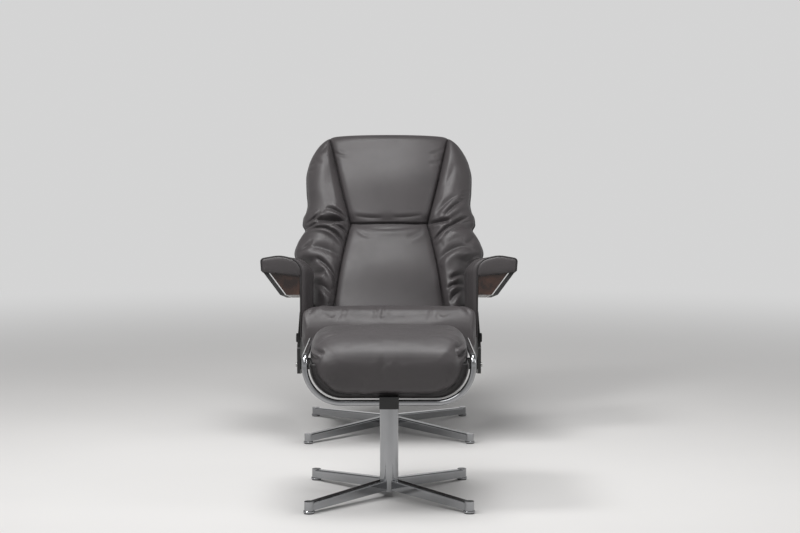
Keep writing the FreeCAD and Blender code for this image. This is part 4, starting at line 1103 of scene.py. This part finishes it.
def arm_trim(side, sign, settings):
    """Piping along the front and rear edges of an armrest and a row of stitches behind the front one."""
    for label, y in (("front", 0.0), ("rear", ARM_LENGTH)):
        trim("arm_piping_{}_{}".format(label, side), arm_path(sign, y, ARM_CORD_FOOT, 2), "piping",
             "piping_and_border_shade_leather", "chassis", Radius=ARM_CORD)
    trim("arm_stitches_" + side, arm_path(sign, ARM_STITCH_Y, ARM_STITCH_FOOT, 4), "stitch_row", "thread",
         "chassis", Pitch=settings.stitch)


def stool_trim(cover, border, settings):
    """Seam with near-black piping, as painted shade, round the lower edge of both ends of the cushion, and
    stitches in the border below.
    """
    for label, way in (("front", 1), ("rear", -1)):
        start = STOOL_AXIS_Y - way * STOOL_CLEAR
        seam = [(p.x, start, p.y) for p in stool_seam(STOOL_CORD_SHARE)]
        path = laid_on(cover, seam, (0, way, 0), STOOL_CORD_LIFT)
        # The near-black piping paints the shade of the cushion's seam.
        trim("stool_piping_" + label, path, "piping", "seam_shade_leather", "stool_top", Radius=STOOL_CORD)
        row = [(p.x, start, p.y) for p in stool_seam(1.0)[STOOL_STITCH_SHORT:-STOOL_STITCH_SHORT]]
        path = laid_on(border, row, (0, way, 0), STOOL_STITCH_LIFT)
        trim("stool_stitches_" + label, path, "stitch_row", "thread", "stool_top", Pitch=settings.stitch)


# Floor, light and camera

FLOOR_HALF = 9
FLOOR_FADE = (1.4, 6.0)
ROOM_LOW, ROOM_HIGH, ROOM_POWER = (0.20, 0.20, 0.21), (0.70, 0.70, 0.70), 0.45
BACKDROP_DIM = 0.35
SUN_POWER, SUN_SOFTNESS, SUN_TURN = 0.7, 35, (32, -24, 0)
# Area lamps: place, aim, size and power
LAMPS = {
    "key": ((-1.5, -1.0, 2.5), (0, 0.2, 0.6), (0.7, 0.7), 34),
    "fill": ((2.2, -1.2, 1.7), (0, 0.1, 0.5), (0.5, 1.2), 13),
    "over": ((0.1, -0.5, 2.6), (0, -0.6, 0.4), (1.2, 0.8), 32),
}
CAMERA_PLACE = (0, CHAIR_AXIS_Y - 5.15, 0.933)
CAMERA_TURN = (90 - 4.31, 0, -0.405)
SENSOR_WIDTH = 36


def staged(name, data, place=(0, 0, 0)):
    """New lamp or camera in the scene."""
    obj = bpy.data.objects.new(name, data)
    obj.location = place
    bpy.context.scene.collection.objects.link(obj)
    return obj


def turned(degrees):
    return [math.radians(angle) for angle in degrees]


def area_light(name, place, aim, size, power):
    lamp = bpy.data.lights.new(name, "AREA")
    lamp.shape = "RECTANGLE"
    lamp.size, lamp.size_y = size
    lamp.energy = power
    toward = Vector(aim) - Vector(place)
    staged(name, lamp, place).rotation_euler = toward.to_track_quat("-Z", "Y").to_euler()


def seen_ray(tree):
    """1 where the camera looks, straight or in a mirror."""
    ray = add(tree, "ShaderNodeLightPath").outputs
    mirror = math_node(tree, "MAXIMUM", ray["Is Glossy Ray"], ray["Is Transmission Ray"])
    return math_node(tree, "MAXIMUM", ray["Is Camera Ray"], mirror)


def make_world(settings):
    """Soft room light, brighter overhead, with a pale backdrop for camera and reflections."""
    world = bpy.data.worlds.new("studio")
    bpy.context.scene.world = world
    world.use_nodes = True
    tree = world.node_tree
    way = add(tree, "ShaderNodeTexCoord").outputs["Generated"]
    up = add(tree, "ShaderNodeSeparateXYZ", {"Vector": way}).outputs["Z"]
    light = mixed(tree, ramp(tree, up, 0, 1, 0.0, 0.8), ROOM_LOW, ROOM_HIGH)
    room = feed(tree, tree.nodes["Background"], {"Color": light, "Strength": ROOM_POWER})
    dim = shaded(settings.backdrop, BACKDROP_DIM)
    seen = mixed(tree, ramp(tree, up, 0, 1, 0.12, 0.6), tuple(settings.backdrop), dim)
    backdrop = add(tree, "ShaderNodeBackground", {"Color": seen})
    surface = mixed_shader(tree, seen_ray(tree), room.outputs["Background"], backdrop.outputs["Background"])
    feed(tree, tree.nodes["World Output"], {"Surface": surface})


def make_floor(settings):
    """Pale floor that fades into the backdrop far from the object."""
    corners = [(x * FLOOR_HALF, y * FLOOR_HALF, 0) for x, y in ((-1, -1), (1, -1), (1, 1), (-1, 1))]
    floor = mesh_object("floor", corners, [(0, 1, 2, 3)])
    tree, shader, place = new_material("studio_floor", Roughness=0.55)
    tint = mixed(tree, noise(tree, place, 3.0, 3), shaded(settings.floor, 0.97), tuple(settings.floor))
    feed(tree, shader, {"Base Color": tint})
    away = add(tree, "ShaderNodeVectorMath", {0: place}, operation="LENGTH").outputs["Value"]
    far = ramp(tree, away, 0, 1, *FLOOR_FADE, curve="SMOOTHSTEP")
    glow = add(tree, "ShaderNodeEmission", {"Color": (*settings.backdrop, 1)}).outputs["Emission"]
    share = math_node(tree, "MULTIPLY", far, seen_ray(tree))
    surface = mixed_shader(tree, share, shader.outputs["BSDF"], glow)
    feed(tree, tree.nodes["Material Output"], {"Surface": surface})
    paint(floor, "studio_floor")


def make_stage(settings):
    make_floor(settings)
    make_world(settings)
    sun = bpy.data.lights.new("daylight", "SUN")
    sun.energy = SUN_POWER
    sun.angle = math.radians(SUN_SOFTNESS)
    staged("daylight", sun).rotation_euler = turned(SUN_TURN)
    for name, lamp in LAMPS.items():
        area_light(name, *lamp)
    camera = bpy.data.cameras.new("camera")
    camera.lens = settings.lens
    camera.sensor_width = SENSOR_WIDTH
    eye = staged("camera", camera, CAMERA_PLACE)
    eye.rotation_euler = turned(CAMERA_TURN)
    scene = bpy.context.scene
    scene.camera = eye
    scene.view_settings.view_transform = "Standard"


# Settings, operators and panel

# How deep a fold has to be for the darkest painted shade
PAINTED_SHADE_FOLD_DEPTHS = {"back": 0.0009, "seat": 0.0008, "arm": 0.0010, "stool": 0.0008}


def colour_setting(name, description, default):
    return bpy.props.FloatVectorProperty(
        name=name, description=description, subtype="COLOR", size=3, min=0, max=1, default=default)


def number_setting(name, description, default, least, unit="NONE"):
    return bpy.props.FloatProperty(
        name=name, description=description, default=default, min=least, unit=unit)


class ReclinerSettings(bpy.types.PropertyGroup):
    leather: colour_setting("Leather", "Colour of the hide", (0.055, 0.0492, 0.0508))
    metal: colour_setting("Polished metal", "Colour of legs, columns and tube", (0.34, 0.345, 0.355))
    floor: colour_setting("Floor", "Colour of the studio floor", (0.72, 0.71, 0.70))
    backdrop: colour_setting("Backdrop", "Colour of the studio backdrop", (0.66, 0.66, 0.66))
    wrinkle: number_setting("Wrinkles", "Depth of the creases, as a share of the worn-in leather's", 1.0, 0)
    voxel: number_setting("Cloth size", "Edge length of the cloth's cells", 0.005, 0.003, "LENGTH")
    pressure: number_setting("Filling pressure", "How hard the filling pushes the covers out", 4.0, 0)
    stitch: number_setting("Stitch pitch", "Distance from stitch to stitch", 0.006, 0.002, "LENGTH")
    lens: number_setting("Lens", "Focal length of the camera", 70.0, 10, "CAMERA")


def upholster(cover, body, fill, *nodes, finish="grey_leather"):
    """Leather over soft filling, whose share fill is not used: it rides on a body, in place of plain nodes if
    it stands for any.
    """
    paint(cover, finish)
    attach(cover, body)
    if nodes:
        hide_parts(*nodes)


class RECLINER_OT_stage(bpy.types.Operator):
    """Floor, light and camera"""
    bl_idname = "recliner.stage"
    bl_label = "Stage"

    def execute(self, context):
        make_stage(context.scene.recliner)
        return {"FINISHED"}


class RECLINER_OT_finishes(bpy.types.Operator):
    """Materials, and the finish of every rigid piece"""
    bl_idname = "recliner.finishes"
    bl_label = "Finishes"

    def execute(self, context):
        make_materials(context.scene.recliner)
        stitch_group()
        piping_group()
        for part in frame["record"]["subparts"]:
            paint(frame["nodes"][part["node"]], part["material_slot"])
        paint(frame["nodes"]["arm_trims"], "bright_strip")
        return {"FINISHED"}


class RECLINER_OT_back(bpy.types.Operator):
    """Upholstered back and head rest, one cover that bends at the head hinge"""
    bl_idname = "recliner.back"
    bl_label = "Back"

    def execute(self, context):
        settings = context.scene.recliner
        cover = make_back(settings)
        shade_creases(cover, PAINTED_SHADE_FOLD_DEPTHS["back"])
        paint(cover, "grey_leather")
        over_hinge(cover)
        nodes = ["back_cushion", "back_shell", "head_cushion", "head_shell"]
        nodes += [name + side for name in ("back_wing_", "head_wing_") for side, sign in SIDES]
        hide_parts(*nodes)
        back_trim(settings)
        return {"FINISHED"}


class RECLINER_OT_seat(bpy.types.Operator):
    """Seat cushion with its wide front roll"""
    bl_idname = "recliner.seat"
    bl_label = "Seat"

    def execute(self, context):
        settings = context.scene.recliner
        cover = make_seat()
        puffed(cover, settings.voxel, settings.pressure, SEAT_PUFF)
        subdivided(cover)
        sculpted(cover, seat_detail(settings))
        shade_creases(cover, PAINTED_SHADE_FOLD_DEPTHS["seat"])
        upholster(cover, "seat", 0.7, "seat_cushion")
        return {"FINISHED"}


class RECLINER_OT_armrests(bpy.types.Operator):
    """Padded tops and inner sides of the armrests"""
    bl_idname = "recliner.armrests"
    bl_label = "Armrests"

    def execute(self, context):
        for side, sign in SIDES:
            cover = make_arm("arm_upholstery_" + side, sign)
            shade_creases(cover, PAINTED_SHADE_FOLD_DEPTHS["arm"])
            upholster(cover, "chassis", 0.85, "arm_pad_" + side, "arm_panel_" + side)
            upholster(make_arm_front("arm_front_" + side, sign), "chassis", 0.9)
            arm_trim(side, sign, context.scene.recliner)
        return {"FINISHED"}


class RECLINER_OT_stool(bpy.types.Operator):
    """Stool cushion"""
    bl_idname = "recliner.stool"
    bl_label = "Stool"

    def execute(self, context):
        settings = context.scene.recliner
        cover = make_stool()
        puffed(cover, settings.voxel, settings.pressure, STOOL_PUFF)
        subdivided(cover)
        sculpted(cover, stool_detail(settings))
        shade_creases(cover, PAINTED_SHADE_FOLD_DEPTHS["stool"])
        upholster(cover, "stool_top", 0.75, "stool_cushion")
        border = make_stool_border()
        # The border takes the darker leather as painted shade under the cushion.
        upholster(border, "stool_top", 0.95, finish="piping_and_border_shade_leather")
        stool_trim(cover, border, settings)
        return {"FINISHED"}


class RECLINER_PT_panel(bpy.types.Panel):
    bl_label = "Recliner"
    bl_idname = "RECLINER_PT_panel"
    bl_space_type = "VIEW_3D"
    bl_region_type = "UI"
    bl_category = "Recliner"

    def draw(self, context):
        settings = context.scene.recliner
        for name in settings.__annotations__:
            self.layout.prop(settings, name)
        for operator in OPERATORS:
            self.layout.operator(operator.bl_idname)


OPERATORS = (RECLINER_OT_stage, RECLINER_OT_finishes, RECLINER_OT_back, RECLINER_OT_seat,
             RECLINER_OT_armrests, RECLINER_OT_stool)
CLASSES = (ReclinerSettings,) + OPERATORS + (RECLINER_PT_panel,)


def register():
    for item in CLASSES:
        bpy.utils.register_class(item)
    bpy.types.Scene.recliner = bpy.props.PointerProperty(type=ReclinerSettings)


def unregister():
    del bpy.types.Scene.recliner
    for item in reversed(CLASSES):
        bpy.utils.unregister_class(item)


def main():
    register()
    bpy.ops.recliner.stage()
    bpy.ops.recliner.finishes()
    bpy.ops.recliner.back()
    bpy.ops.recliner.seat()
    bpy.ops.recliner.armrests()
    bpy.ops.recliner.stool()


if __name__ == "__main__":
    main()
